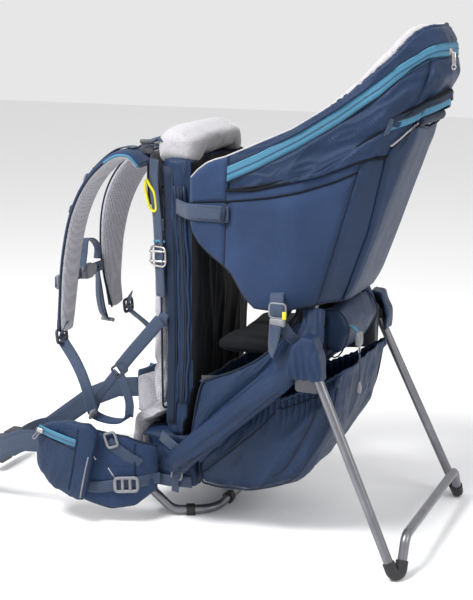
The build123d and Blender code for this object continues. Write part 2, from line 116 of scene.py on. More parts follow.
class Surface:
    """Small helper that builds one procedural material."""

    def __init__(self, name, rough, metal=0.0, sheen=0.0, specular=0.5):
        self.mat = bpy.data.materials.new(name)
        self.mat.use_nodes = True
        self.nodes = self.mat.node_tree.nodes
        self.links = self.mat.node_tree.links
        self.shader = self.nodes["Principled BSDF"]
        self.shader.inputs["Roughness"].default_value = rough
        self.shader.inputs["Metallic"].default_value = metal
        self.shader.inputs["Specular IOR Level"].default_value = specular
        self.shader.inputs["Sheen Weight"].default_value = sheen
        self.shader.inputs["Sheen Roughness"].default_value = 0.45
        self.place = self.nodes.new("ShaderNodeTexCoord").outputs["Object"]

    def add(self, kind, **values):
        node = self.nodes.new(kind)
        for key, value in values.items():
            if key in node.inputs:
                node.inputs[key].default_value = value
            else:
                setattr(node, key, value)
        return node

    def noise(self, scale, detail=3.0):
        node = self.add("ShaderNodeTexNoise", Scale=scale, Detail=detail)
        self.links.new(self.place, node.inputs["Vector"])
        return node.outputs["Fac"]

    def bands(self, period, axis):
        """Parallel threads across one axis; the period is in metres."""
        node = self.add("ShaderNodeTexWave", wave_type="BANDS", bands_direction=axis,
                        Scale=0.31416 / period)
        node.inputs["Distortion"].default_value = 0.0
        self.links.new(self.place, node.inputs["Vector"])
        return node.outputs["Fac"]

    def cells(self, scale):
        node = self.add("ShaderNodeTexVoronoi", Scale=scale)
        node.inputs["Randomness"].default_value = 0.25
        self.links.new(self.place, node.inputs["Vector"])
        return node.outputs["Distance"]

    def math(self, operation, first, second):
        node = self.nodes.new("ShaderNodeMath")
        node.operation = operation
        for socket, value in zip(node.inputs, (first, second)):
            if isinstance(value, float):
                socket.default_value = value
            else:
                self.links.new(value, socket)
        return node.outputs[0]

    def ramp(self, factor, stops):
        node = self.nodes.new("ShaderNodeValToRGB")
        node.color_ramp.elements[0].position = stops[0][0]
        node.color_ramp.elements[0].color = (*stops[0][1], 1)
        node.color_ramp.elements[1].position = stops[-1][0]
        node.color_ramp.elements[1].color = (*stops[-1][1], 1)
        for position, color in stops[1:-1]:
            node.color_ramp.elements.new(position).color = (*color, 1)
        self.links.new(factor, node.inputs["Fac"])
        return node.outputs["Color"]

    def paint(self, color):
        self.links.new(color, self.shader.inputs["Base Color"])

    def rough(self, factor, low, high):
        node = self.add("ShaderNodeMapRange")
        node.inputs["To Min"].default_value = low
        node.inputs["To Max"].default_value = high
        self.links.new(factor, node.inputs["Value"])
        self.links.new(node.outputs["Result"], self.shader.inputs["Roughness"])

    def bump(self, height, strength, depth):
        node = self.add("ShaderNodeBump")
        node.inputs["Strength"].default_value = strength
        node.inputs["Distance"].default_value = depth
        self.links.new(height, node.inputs["Height"])
        self.links.new(node.outputs["Normal"], self.shader.inputs["Normal"])


def shade(color, factor):
    """The same hue, lighter or darker."""
    return tuple(min(1.0, c * factor) for c in color)


def woven(name, color, period, rough, sheen, crinkle, specular=0.3):
    """Plain-weave cloth: threads two ways, speckle, and soft colour variation."""
    s = Surface(name, rough, sheen=sheen, specular=specular)
    threads = s.math("MULTIPLY", s.bands(period, "X"), s.bands(period, "Z"))
    threads = s.math("ADD", threads, s.math("MULTIPLY", s.bands(period, "Y"), 0.5))
    speckle = s.noise(900, 2)
    tone = s.math("ADD", s.math("MULTIPLY", s.noise(14, 4), 0.6),
                  s.math("MULTIPLY", speckle, 0.4))
    s.paint(s.ramp(tone, [(0.3, shade(color, 0.78)), (0.52, color), (0.75, shade(color, 1.3))]))
    s.rough(s.noise(60, 3), rough - 0.08, rough + 0.08)
    height = s.math("ADD", s.math("MULTIPLY", threads, 0.35),
                    s.math("MULTIPLY", s.noise(85, 5), crinkle))
    s.bump(height, 0.5, 0.0012)
    return s.mat


def webbing(name, color):
    """Ribbed webbing: close ribs along the strap and a slight gloss."""
    s = Surface(name, 0.62, sheen=0.15)
    ribs = s.math("ADD", s.bands(0.0016, "DIAGONAL"), s.math("MULTIPLY", s.bands(0.0011, "Z"), 0.7))
    tone = s.math("ADD", s.math("MULTIPLY", ribs, 0.25), s.math("MULTIPLY", s.noise(240, 3), 0.6))
    s.paint(s.ramp(tone, [(0.25, shade(color, 0.72)), (0.75, shade(color, 1.25))]))
    s.bump(ribs, 0.45, 0.0007)
    return s.mat


def air_mesh(name, thread, hole, scale):
    """Spacer mesh: rounded holes in a knitted face."""
    s = Surface(name, 0.8, sheen=0.2)
    holes = s.cells(scale)
    s.paint(s.ramp(holes, [(0.16, hole), (0.3, shade(thread, 0.8)), (0.55, thread)]))
    s.bump(s.math("ADD", holes, s.math("MULTIPLY", s.noise(1300, 2), 0.3)), 0.7, 0.0016)
    return s.mat


def jersey(name, color):
    """Soft heather knit with pale and dark flecks."""
    s = Surface(name, 0.9, sheen=0.5)
    flecks = s.math("ADD", s.math("MULTIPLY", s.noise(520, 4), 0.7),
                    s.math("MULTIPLY", s.noise(60, 3), 0.3))
    s.paint(s.ramp(flecks, [(0.3, shade(color, 0.72)), (0.5, color), (0.72, shade(color, 1.2))]))
    s.bump(s.math("ADD", s.bands(0.0013, "DIAGONAL"), s.noise(700, 2)), 0.35, 0.0008)
    return s.mat


def moulded(name, color, rough):
    """Moulded plastic or rubber: fine grain and faint handling marks."""
    s = Surface(name, rough)
    marks = s.noise(45, 5)
    s.paint(s.ramp(marks, [(0.3, shade(color, 0.85)), (0.7, shade(color, 1.15))]))
    s.rough(s.noise(130, 4), rough - 0.1, rough + 0.1)
    s.bump(s.noise(1500, 2), 0.15, 0.0004)
    return s.mat


def metal(name, color, rough, metallic):
    """Anodised or cast metal: drawing lines and worn, lighter spots."""
    s = Surface(name, rough, metal=metallic)
    wear = s.noise(38, 6)
    s.paint(s.ramp(wear, [(0.3, shade(color, 0.82)), (0.62, color), (0.85, shade(color, 1.35))]))
    s.rough(s.noise(210, 4), rough - 0.08, rough + 0.12)
    s.bump(s.noise(900, 2), 0.08, 0.0003)
    return s.mat


NAVY = (0.005, 0.020, 0.059)
MAT = {}


def make_materials():
    """Every finish on the carrier."""
    MAT["soft"] = woven("navy_softshell", (0.020, 0.038, 0.088), 0.0011, 0.85, 0.1, 0.2, 0.15)
    MAT["nylon"] = woven("navy_nylon", NAVY, 0.0009, 0.42, 0.03, 1.6, 0.27)
    MAT["deep"] = woven("navy_deep", shade(NAVY, 0.55), 0.0009, 0.6, 0.05, 0.6)
    MAT["binding"] = woven("navy_binding", shade(NAVY, 0.42), 0.0013, 0.7, 0.05, 0.2)
    MAT["lining"] = woven("black_lining", (0.004, 0.005, 0.007), 0.0012, 0.75, 0.03, 0.5, 0.15)
    MAT["sky"] = woven("light_blue_tape", (0.047, 0.165, 0.262), 0.0010, 0.6, 0.05, 0.2)
    MAT["coil"] = moulded("zip_coil", (0.012, 0.05, 0.10), 0.4)
    MAT["web"] = webbing("navy_webbing", (0.016, 0.034, 0.074))
    MAT["mesh"] = air_mesh("grey_air_mesh", (0.37, 0.365, 0.40), (0.10, 0.10, 0.13), 330)
    MAT["navy_mesh"] = air_mesh("navy_air_mesh", (0.02, 0.045, 0.10), (0.006, 0.012, 0.03), 330)
    MAT["jersey"] = jersey("heather_jersey", (0.36, 0.352, 0.372))
    MAT["pale"] = jersey("pale_lining", (0.39, 0.378, 0.397))
    MAT["plastic"] = moulded("grey_acetal", (0.165, 0.17, 0.19), 0.42)
    MAT["slate"] = moulded("slate_acetal", (0.055, 0.058, 0.070), 0.45)
    MAT["dark"] = moulded("dark_acetal", (0.018, 0.022, 0.034), 0.45)
    MAT["yellow"] = moulded("yellow_acetal", (0.55, 0.50, 0.012), 0.4)
    MAT["rubber"] = moulded("black_rubber", (0.014, 0.014, 0.016), 0.65)
    MAT["tube"] = metal("grey_anodised_tube", (0.20, 0.20, 0.22), 0.30, 0.8)
    MAT["strut"] = metal("grey_strut", (0.05, 0.05, 0.055), 0.45, 0.4)
    MAT["silver"] = metal("cast_silver", (0.50, 0.48, 0.46), 0.28, 1.0)


# --- Curves and mesh helpers ------------------------------------------------
def V(x, y, z):
    """A point given in millimetres."""
    return Vector((x, y, z)) * MM


def spline(points, steps=8):
    """Smooth line through points (Catmull-Rom)."""
    pts = [Vector(p) for p in points]
    pts = [pts[0] * 2 - pts[1]] + pts + [pts[-1] * 2 - pts[-2]]
    line = []
    for a, b, c, d in zip(pts, pts[1:], pts[2:], pts[3:]):
        for k in range(steps):
            t = k / steps
            line.append(0.5 * (2 * b + (c - a) * t + (2 * a - 5 * b + 4 * c - d) * t * t
                               + (3 * b - a - 3 * c + d) * t ** 3))
    return line + [pts[-2]]


def lookup(table, x):
    """Piecewise-linear value of a table of (x, value) pairs."""
    if x <= table[0][0]:
        return table[0][1]
    for (a, va), (b, vb) in zip(table, table[1:]):
        if x <= b:
            return va + (vb - va) * (x - a) / (b - a)
    return table[-1][1]


def mesh_piece(name, verts, faces, mat, body="frame", smooth=True):
    """A mesh object with one material that rides on a body."""
    data = bpy.data.meshes.new(name)
    data.from_pydata([tuple(v) for v in verts], [], faces)
    data.validate()
    if smooth:
        data.polygons.foreach_set("use_smooth", [True] * len(data.polygons))
    obj = bpy.data.objects.new(name, data)
    bpy.context.collection.objects.link(obj)
    data.materials.append(MAT[mat])
    fix_normals(obj)
    if body:
        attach(obj, body)
    return obj


def fix_normals(obj):
    """Turn every face outward."""
    bm = bmesh.new()
    bm.from_mesh(obj.data)
    bmesh.ops.recalc_face_normals(bm, faces=bm.faces)
    bm.to_mesh(obj.data)
    bm.free()


def grid_faces(rows, cols, wrap=False):
    """Quads of a grid of rows by cols, closed round when wrap is true."""
    faces = []
    for r in range(rows - 1):
        for c in range(cols if wrap else cols - 1):
            d = (c + 1) % cols
            faces.append((r * cols + c, r * cols + d, (r + 1) * cols + d, (r + 1) * cols + c))
    return faces


def rings_piece(name, rings, mat, body="frame", caps=True):
    """Closed skin through rings of equal size."""
    cols = len(rings[0])
    verts = [v for ring in rings for v in ring]
    faces = grid_faces(len(rings), cols, wrap=True)
    if caps:
        faces.append(tuple(range(cols)))
        faces.append(tuple((len(rings) - 1) * cols + c for c in reversed(range(cols))))
    return mesh_piece(name, verts, faces, mat, body)


def frames_along(line, side):
    """Tangent, side and normal at each point of a line; side is a vector or a function."""
    out = []
    for i, p in enumerate(line):
        tangent = (line[min(i + 1, len(line) - 1)] - line[max(i - 1, 0)]).normalized()
        wide = side(i / (len(line) - 1)) if callable(side) else side
        wide = (wide - tangent * wide.dot(tangent)).normalized()
        out.append((p, tangent, wide, tangent.cross(wide)))
    return out


def strap(name, points, side, width, thick, mat="web", body="frame", steps=8, wave=0.0):
    """Flat webbing along a smooth line, with rounded edges."""
    line = spline(points, steps)
    half, t = width * MM / 2, thick * MM / 2
    edge = min(half, t * 1.2)
    shape = [(-half, 0), (-half + edge * 0.4, t), (-half * 0.5, t), (half * 0.5, t),
             (half - edge * 0.4, t), (half, 0), (half - edge * 0.4, -t), (half * 0.5, -t),
             (-half * 0.5, -t), (-half + edge * 0.4, -t)]
    rings = []
    for i, (p, _, wide, up) in enumerate(frames_along(line, side)):
        lift = wave * MM * noise.noise(p * 60)
        rings.append([p + wide * u + up * (v + lift) for u, v in shape])
    return rings_piece(name, rings, mat, body)


def rod(name, points, radius, mat, body="frame", steps=6, sides=10):
    """Round cord, piping or wire along a smooth line; the radius may be a function."""
    line = spline(points, steps) if steps > 1 else [Vector(p) for p in points]
    rings = []
    first = Vector((0.31, 0.22, 0.93))
    for p, _, wide, up in frames_along(line, first):
        r = radius_at(radius, p) * MM
        rings.append([p + (wide * math.cos(a) + up * math.sin(a)) * r
                      for a in (2 * math.pi * k / sides for k in range(sides))])
    return rings_piece(name, rings, mat, body)


def radius_at(radius, place):
    """A rod's radius at a place, when it changes along the rod."""
    return radius(place) if callable(radius) else radius


def join(name, pieces):
    """One object from several that ride on the same body."""
    for other in bpy.context.selected_objects:
        other.select_set(False)
    for piece in pieces:
        piece.select_set(True)
    bpy.context.view_layer.objects.active = pieces[0]
    bpy.ops.object.join()
    pieces[0].name = name
    return pieces[0]


def stitches(name, points, mat="binding", body="frame", length=2.6, gap=1.5, radius=0.35, steps=8):
    """A row of short raised stitches along a line."""
    line = spline(points, steps)
    verts, faces = [], []
    travelled, step = 0.0, (length + gap) * MM
    for a, b in zip(line, line[1:]):
        span = (b - a).length
        while travelled < span:
            start = a + (b - a) * (travelled / span)
            along = (b - a).normalized() * length * MM
            wide = along.cross(Vector((0.3, 0.2, 0.9))).normalized() * radius * MM
            up = along.cross(wide).normalized() * radius * MM
            n = len(verts)
            for point in (start, start + along):
                verts.extend([point + wide, point + up, point - wide, point - up])
            faces.extend([(n + k, n + (k + 1) % 4, n + 4 + (k + 1) % 4, n + 4 + k)
                          for k in range(4)])
            faces.extend([(n + 3, n + 2, n + 1, n), (n + 4, n + 5, n + 6, n + 7)])
            travelled += step
        travelled -= span
    return mesh_piece(name, verts, faces, mat, body)


def modify(obj, kind, **values):
    """Add one modifier and apply it."""
    mod = obj.modifiers.new(kind.lower(), kind)
    for key, value in values.items():
        setattr(mod, key, value)
    apply_modifiers(obj)


def apply_modifiers(obj):
    """Bake the modifiers into the mesh."""
    graph = bpy.context.evaluated_depsgraph_get()
    data = bpy.data.meshes.new_from_object(obj.evaluated_get(graph))
    old = obj.data
    obj.modifiers.clear()
    obj.data = data
    bpy.data.meshes.remove(old)
    data.polygons.foreach_set("use_smooth", [True] * len(data.polygons))


def displace(obj, shift):
    """Move each vertex along its normal by a function of its place, in millimetres."""
    normals = [v.normal.copy() for v in obj.data.vertices]
    for vert, normal in zip(obj.data.vertices, normals):
        vert.co += normal * shift(vert.co) * MM
    obj.data.update()


def folds(amount, stretch, scale=1.0, seed=0.0, sharp=1.0):
    """Creases: noise that is long one way and short the other."""
    def shift(p):
        q = Vector((p.x * stretch[0], p.y * stretch[1], p.z * stretch[2])) * scale
        value = noise.noise(q + Vector((seed, 1.7 * seed, 0.3)))
        ridge = 1 - 2 * abs(value) ** sharp
        return amount * ridge
    return shift


def creases(amount, run, long, short, seed=0.0, sharp=0.7):
    """Folds that run along one direction, with finer ones between them."""
    run = Vector(run).normalized()
    start = Vector((seed, 1.7 * seed, 0.3))

    def shift(p):
        along = run * p.dot(run)
        q = along * long + (p - along) * short + start
        fine = 1 - 2.4 * abs(noise.noise(q * 2.3)) ** sharp
        return amount * (0.7 * (1 - 2.4 * abs(noise.noise(q)) ** sharp) + 0.3 * fine)
    return shift


def second_fabric(obj, mat, test):
    """Give the faces that pass a test another fabric."""
    obj.data.materials.append(MAT[mat])
    for face in obj.data.polygons:
        if test(face):
            face.material_index = len(obj.data.materials) - 1


def from_node(name, node, mat, voxel, body="frame"):
    """A dense copy of a plain CAD solid, to be shaped as fabric."""
    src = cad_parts[node]
    obj = bpy.data.objects.new(name, src.data.copy())
    bpy.context.collection.objects.link(obj)
    obj.data.materials.clear()
    obj.data.materials.append(MAT[mat])
    for modifier in list(obj.modifiers):
        obj.modifiers.remove(modifier)
    modify(obj, "REMESH", mode="VOXEL", voxel_size=voxel * MM)
    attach(obj, body)
    return obj


def inflate(obj, pressure, cap, shrink=2.0, stiff=12.0):
    """Cloth simulation that fills a pad, with a cap on how far a point moves."""
    displace(obj, lambda p: -shrink)
    start = [v.co.copy() for v in obj.data.vertices]
    mod = obj.modifiers.new("cloth", "CLOTH")
    mod.settings.use_pressure = True
    mod.settings.uniform_pressure_force = pressure
    mod.settings.effector_weights.gravity = 0
    mod.settings.tension_stiffness = stiff
    mod.settings.quality = 5
    mod.point_cache.frame_start, mod.point_cache.frame_end = 1, 20
    scene = bpy.context.scene
    for number in range(1, 21):
        scene.frame_set(number)
    apply_modifiers(obj)
    for vert, place in zip(obj.data.vertices, start):
        move = vert.co - place
        if move.length > cap * MM:
            vert.co = place + move.normalized() * cap * MM
    obj.data.update()
    scene.frame_set(1)


def padded(name, node, mat, voxel=5.0, pressure=4.0, cap=8.0, body="frame", shrink=2.0):
    """A pad or cushion grown from its CAD solid."""
    obj = from_node(name, node, mat, voxel, body)
    modify(obj, "SMOOTH", factor=0.5, iterations=8)
    inflate(obj, pressure, cap, shrink)
    modify(obj, "SUBSURF", levels=1)
    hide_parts(node)
    return obj


def side_hits(obj, s, points, lift):
    """Points (y, z) carried sideways onto the outer face of a piece."""
    tree = BVHTree.FromPolygons([v.co for v in obj.data.vertices],
                                [tuple(f.vertices) for f in obj.data.polygons])
    hits = []
    for y, z in points:
        hit = tree.ray_cast(V(s * 300, y, z), Vector((-s, 0, 0)))[0]
        if hit:
            hits.append(hit + V(s * lift, 0, 0))
    return hits


def pillow(name, outline, depth, place, mat, body="frame", rings=9, cols=96, back=0.25, round_=2.6,
           flat_rim=0.0):
    """A stuffed patch: an outline that swells by depth, set in space by a function."""
    pts = [Vector((u, v, 0)) for u, v in outline]
    closed = pts + pts[:1]
    total = [0.0]
    for a, b in zip(closed, closed[1:]):
        total.append(total[-1] + (b - a).length)
    ring = []
    for k in range(cols):
        s = total[-1] * k / cols
        i = max(j for j in range(len(pts)) if total[j] <= s)
        ring.append(closed[i].lerp(closed[i + 1], (s - total[i]) / (total[i + 1] - total[i])))
    for _ in range(3):
        ring = [(ring[k - 1] + ring[k] * 2 + ring[(k + 1) % cols]) / 4 for k in range(cols)]
    centre = sum(ring, Vector()) / cols
    levels = [math.sin(j / rings * math.pi / 2) for j in range(1, rings + 1)]
    layers = []
    for size in levels:
        layers.append((size, depth * ((1 - size ** round_) ** (1 / round_)) + flat_rim / 2))
    for size in reversed(levels):
        layers.append((size, -depth * back * ((1 - size ** round_) ** (1 / round_)) - flat_rim / 2))
    rows = [[place(*(centre.lerp(p, size)).xy, lift) for p in ring] for size, lift in layers]
    return rings_piece(name, rows, mat, body)


# --- Cockpit and hood -------------------------------------------------------
# Half plan of the cockpit by height, in millimetres: front edge, side corner,
# side seam, rear seam and rear. The far half is its mirror image.
PLANS = [
    (380, [(150, 30), (148, 196), (118, 236), (74, 262), (60, 266)]),
    (500, [(146, 30), (142, 204), (114, 273), (73, 304), (59, 309)]),
    (620, [(143, 30), (136, 212), (110, 310), (86, 333), (58, 352)]),
    (700, [(140, 30), (130, 225), (106, 330), (70, 376), (46, 388)]),
    (740, [(138, 30), (126, 232), (100, 335), (60, 392), (32, 406)]),
    (778, [(135, 30), (122, 236), (96, 335), (57, 391), (29, 405)]),
    (808, [(131, 30), (114, 236), (88, 330), (50, 378), (24, 390)]),
]
WALL = 5
FRONT_Y = 45                 # front edge of the cockpit wings
FOLD_Y = 104                 # seam between a wing and the side panel
RIM = [(45, 578), (56, 590), (70, 601), (84, 607), (101, 612), (143, 630), (182, 647),
       (205, 657), (245, 682), (273, 701), (301, 723), (324, 745), (343, 762), (360, 785),
       (367, 794), (377, 802), (386, 805), (440, 805)]
HEM = [(45, 516), (50, 496), (62, 478), (80, 463), (100, 449), (115, 436), (134, 404),
       (152, 388), (190, 386), (250, 396), (440, 384)]
ZIP = [(20, 545), (100, 586), (155, 611), (217, 644), (273, 680), (301, 701), (327, 720),
       (350, 741), (368, 754), (385, 766), (396, 771), (440, 776)]
POCKET_EDGE = [(101, 563), (156, 573), (203, 585), (251, 601), (264, 610), (283, 624), (330, 659),
               (345, 668), (372, 690)]
STRIP_TOP = [(101, 562), (146, 565), (171, 571), (251, 592), (283, 604), (314, 616), (337, 618),
             (352, 630)]
REAR_TOP = [(2.98, 630), (3.4, 648), (3.9, 664), (4.5, 656)]   # rear panel, by place on the plan
BAND = [(2.5, 664), (3.0, 672), (3.56, 682), (4.5, 696)]       # lower zip, by place on the plan
REAR_BULGE = [(650, 0), (672, -5), (700, -1), (735, 5), (762, 0)]
TAPE_BELOW = [(340, 11), (352, 8), (366, 4.5), (390, 4.5), (397, 8), (404, 11)]   # lower half
YOKE_SEAM = [(45, 541), (101, 546), (173, 556), (218, 566), (268, 583), (303, 599), (316, 612),
             (337, 618), (352, 628), (440, 650)]
SIDE_SEAM, REAR_SEAM, TURNS = 2, 3, 9   # places along the plan, out of nine runs


def plan(z):
    """The ten corners of the cockpit's plan at a height."""
    for (z0, a), (z1, b) in zip(PLANS, PLANS[1:]):
        if z <= z1:
            break
    t = (z - z0) / (z1 - z0)
    half = [Vector(p).lerp(Vector(q), t) for p, q in zip(a, b)]
    return half + [Vector((-p.x, p.y)) for p in reversed(half)]


def wall(t, z, out=0.0):
    """Point on the cockpit wall, t runs along the plan and out is outwards."""
    corners = plan(z)
    near = min(max(round(t), 1), TURNS - 1)
    reach = 0.22

    def straight(s):
        i = min(int(s), TURNS - 1)
        return corners[i].lerp(corners[i + 1], s - i)
    if abs(t - near) < reach:
        a, b, c = straight(near - reach), corners[near], straight(near + reach)
        s = (t - near + reach) / (2 * reach)
        p = a * (1 - s) ** 2 + b * 2 * s * (1 - s) + c * s * s
        run = (b - a) * (1 - s) + (c - b) * s
    else:
        p = straight(t)
        i = min(int(t), TURNS - 1)
        run = corners[i + 1] - corners[i]
    run.normalize()
    p = p + Vector((run.y, -run.x)) * out
    return Vector((p.x, p.y, z)) * MM


def level(t, table, shift=0.0):
    """Height at t of a line on the wall: a table by depth, or a function of t."""
    if callable(table):
        return table(t) + shift
    z = 600.0
    for _ in range(12):
        z = lookup(table, wall(t, z).y / MM) + shift
    return z


def by_place(table, shift=0.0):
    """Line on the wall from a table by place along the plan, the same on both sides."""
    return lambda t: lookup(table, min(t, TURNS - t)) + shift


def zip_edge(side):
    """Upper (+1) or lower (-1) edge of the hood's zip tape."""
    if side > 0:
        return [(y, z + 11) for y, z in ZIP]
    return [(y, z - lookup(TAPE_BELOW, y)) for y, z in ZIP]


def place_of(y, table):
    """Place along the plan where a line on the side reaches a depth y."""
    low, high = 0.0, 4.5
    for _ in range(24):
        middle = (low + high) / 2
        if wall(middle, level(middle, table)).y / MM < y:
            low = middle
        else:
            high = middle
    return low


def line_on_wall(table, t0, t1, steps, out=0.0, shift=0.0):
    """Points along a line on the wall."""
    points = []
    for k in range(steps + 1):
        t = t0 + (t1 - t0) * k / steps
        points.append(wall(t, level(t, table, shift), out))
    return points


def panel(name, t_range, low, high, mat, puff=3.0, crease=None, cols=60, rows=26, thick=3.0,
          pinch=0.10, out=0.0):
    """Sewn panel of the cockpit wall, crowned between its seams."""
    t0, t1 = t_range
    verts = []
    for r in range(rows + 1):
        v = r / rows
        for c in range(cols + 1):
            u = c / cols
            t = t0 + (t1 - t0) * u
            z0, z1 = level(t, low), level(t, high)
            edge = min(u, 1 - u, v * 0.8, (1 - v) * 0.8) / pinch
            crown = math.sin(min(1.0, edge) * math.pi / 2)
            z = z0 + (z1 - z0) * v
            lift = out + puff * crown
            p = wall(t, z, lift)
            if crease:
                p = wall(t, z, lift + crease(p) * crown)
            verts.append(p)
    obj = mesh_piece(name, verts, grid_faces(rows + 1, cols + 1), mat)
    modify(obj, "SOLIDIFY", thickness=thick * MM, offset=0.0)
    return obj


def sides(build):
    """Run a builder for the left side, then the right."""
    for label, flip in (("left", False), ("right", True)):
        build(label, flip)


def span(a, b, flip):
    """A range along the plan, or its mirror image."""
    return (TURNS - a, TURNS - b) if flip else (a, b)


def cockpit():
    """Outer panels, collar, hood, lining, rim, seams and zip."""
    front = place_of(FRONT_Y, YOKE_SEAM)
    fold = place_of(FOLD_Y, YOKE_SEAM)
    soft = creases(1.0, (0, 0.35, 0.94), 3, 8, 3.0, 1.0)
    crumple = creases(7.5, (0, 0.9, 0.44), 5, 24, 1.0)
    pleats = creases(3.6, (0, 0.8, 0.6), 8, 40, 4.0)
    hood_fold = creases(3.4, (0, 0.82, 0.57), 5, 24, 5.0)
    rear_fold = creases(3.2, (0.8, 0.4, 0.5), 6, 26, 9.0)

    def one_side(label, flip):
        wing = panel(f"wing_{label}", span(front, fold, flip), HEM, YOKE_SEAM, "soft", 3.0,
                     creases(1.4, (0, 0.7, 0.7), 4, 14, 3.0, 1.0), 30, 30)
        corner = panel(f"corner_{label}", span(front, fold, flip), YOKE_SEAM, RIM, "soft", 4.0,
                       creases(1.8, (0, 0.6, 0.8), 6, 20, 2.0), 40, 36)
        side = panel(f"side_panel_{label}", span(fold, SIDE_SEAM, flip), HEM, YOKE_SEAM, "soft",
                     4.0, soft, 60, 50)
        facing = panel(f"side_facing_{label}", span(fold, SIDE_SEAM, flip), YOKE_SEAM, STRIP_TOP,
                       "soft", 2.6, None, 60, 12, 2.4, 0.25, 1.0)
        strip = panel(f"angled_strip_{label}", span(SIDE_SEAM, REAR_SEAM, flip), HEM, STRIP_TOP,
                      "nylon", 3.0, creases(1.6, (0, 0.3, 1), 4, 18, 3.0), 30, 60)
        edge = panel(f"collar_strip_{label}", span(fold + 0.25, REAR_SEAM, flip), STRIP_TOP,
                     POCKET_EDGE, "nylon", 4.5, pleats, 110, 20, 2.0, 0.2, 2.0)
        collar = panel(f"collar_{label}", span(fold, REAR_SEAM, flip), STRIP_TOP, zip_edge(-1),
                       "nylon", 4.0, crumple, 130, 34, out=-2)
    sides(one_side)
    rear = panel("rear_panel", (REAR_SEAM, TURNS - REAR_SEAM), HEM, by_place(REAR_TOP), "nylon",
                 5.0, creases(1.2, (0, 0.3, 1), 4, 18, 6.0), 50, 60, out=3.0)
    panel("rear_collar", (REAR_SEAM - 0.02, TURNS - REAR_SEAM + 0.02), by_place(REAR_TOP, -10),
          zip_edge(-1), "nylon", 3.0,
          lambda p: lookup(REAR_BULGE, p.z / MM) + rear_fold(p), 90, 40, out=-2.0, pinch=0.05)
    hood = panel("hood_skin", (fold, TURNS - fold), zip_edge(1), RIM, "nylon", 4.0, hood_fold,
                 240, 30)
    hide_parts("cockpit_side_left")
    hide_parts("cockpit_side_right")
    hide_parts("cockpit_rear")
    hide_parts("hood")
    for name, low, high, mat, depth in (("cockpit_lining", HEM, ZIP, "lining", -WALL - 3.0),
                                        ("hood_lining", ZIP, RIM, "pale", -WALL - 2.0)):
        panel(name, (front, TURNS - front), low, high, mat, -3.0,
              creases(1.5, (0, 0.5, 1), 8, 18, 8.0), 200, 24, 1.5, 0.06, depth)
    zip_on_wall(fold)
    seams_on_wall(front, fold)
    rear_top()
    hood_ribs()


def zip_on_wall(fold):
    """Double zip tape round the hood's lower edge, with its coil."""
    cols, rows = 260, 4
    low, high = zip_edge(-1), zip_edge(1)
    verts = []
    for r in range(rows + 1):
        for c in range(cols + 1):
            t = fold + (TURNS - 2 * fold) * c / cols
            z0, z1 = level(t, low), level(t, high)
            verts.append(wall(t, z0 + (z1 - z0) * r / rows, 3.2))
    tape = mesh_piece("hood_zip_tape", verts, grid_faces(rows + 1, cols + 1), "sky")
    modify(tape, "SOLIDIFY", thickness=2.2 * MM, offset=0.0)
    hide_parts("hood_zip")
    middle = line_on_wall(ZIP, fold, TURNS - fold, 300, 4.6)
    rod("hood_zip_coil", middle, 0.8, "coil", steps=1, sides=8)
    for shift in (-8.5, 8.5):
        line = line_on_wall(ZIP, fold, TURNS - fold, 160, 4.4, shift)
        stitches(f"hood_zip_stitch_{'low' if shift < 0 else 'high'}", line, "sky", steps=2)
    for side, label in ((-1, "low"), (1, "high")):
        line = line_on_wall(zip_edge(side), fold, TURNS - fold, 260, 3.0, 1.2 * side)
        rod(f"hood_zip_edge_{label}", line, 1.3, "binding", steps=1, sides=8)


def seams_on_wall(front, fold):
    """Piping, bindings and stitch rows where the cockpit's panels meet."""
    low = level(front, HEM)
    for label, flip in (("left", False), ("right", True)):
        t = TURNS - front if flip else front
        edge = [wall(t, low + (level(t, RIM) - low) * k / 24) for k in range(25)]
        rod(f"front_binding_{label}", edge, 2.0, "soft", steps=2)
        seam = fold if not flip else TURNS - fold
        edge = [wall(seam, level(seam, HEM) + (level(seam, RIM) - level(seam, HEM)) * k / 40, 1.2)
                for k in range(41)]
        rod(f"wing_seam_{label}", edge, 1.3, "binding", steps=2)
        a, b = span(SIDE_SEAM, REAR_SEAM, flip)
        for kind, place in (("side", a), ("rear", b)):
            z0, z1 = level(place, HEM), level(place, STRIP_TOP)
            edge = [wall(place, z0 + (z1 - z0) * k / 40, 1.6) for k in range(41)]
            rod(f"{kind}_seam_{label}", edge, 1.4, "binding", steps=2)
            near = place + (0.06 if flip == (kind == "side") else -0.06)
            edge = [wall(near, z0 + 8 + (z1 - z0 - 16) * k / 40, 4.4) for k in range(41)]
            stitches(f"{kind}_topstitch_{label}", edge, "deep", steps=2)
        rod(f"wing_top_seam_{label}", line_on_wall(YOKE_SEAM, *span(front, fold, flip), 30, 1.6),
            1.6, "lining", steps=2)
        a, b = span(fold, SIDE_SEAM, flip)
        rod(f"facing_seam_{label}", line_on_wall(YOKE_SEAM, a, b, 110, 2.6), 1.5, "lining",
            steps=2)
        a, b = span(fold, REAR_SEAM, flip)
        rod(f"facing_edge_{label}", line_on_wall(STRIP_TOP, a, b, 80, 5.5, 1.5), 1.9, "lining",
            steps=2)
        rod(f"collar_slit_{label}", line_on_wall(POCKET_EDGE, a, b, 80, 5.0), 1.6, "lining",
            steps=2)
        rod(f"corner_lining_{label}", line_on_wall(RIM, *span(front, 1.9, flip), 60, 0.6, 2.0),
            1.3, "pale", steps=2)
    hem = line_on_wall(HEM, front, TURNS - front, 300, -1.0)
    rod("cockpit_hem", hem, 3.0, "binding", steps=1)
    rim_and_liner(front)


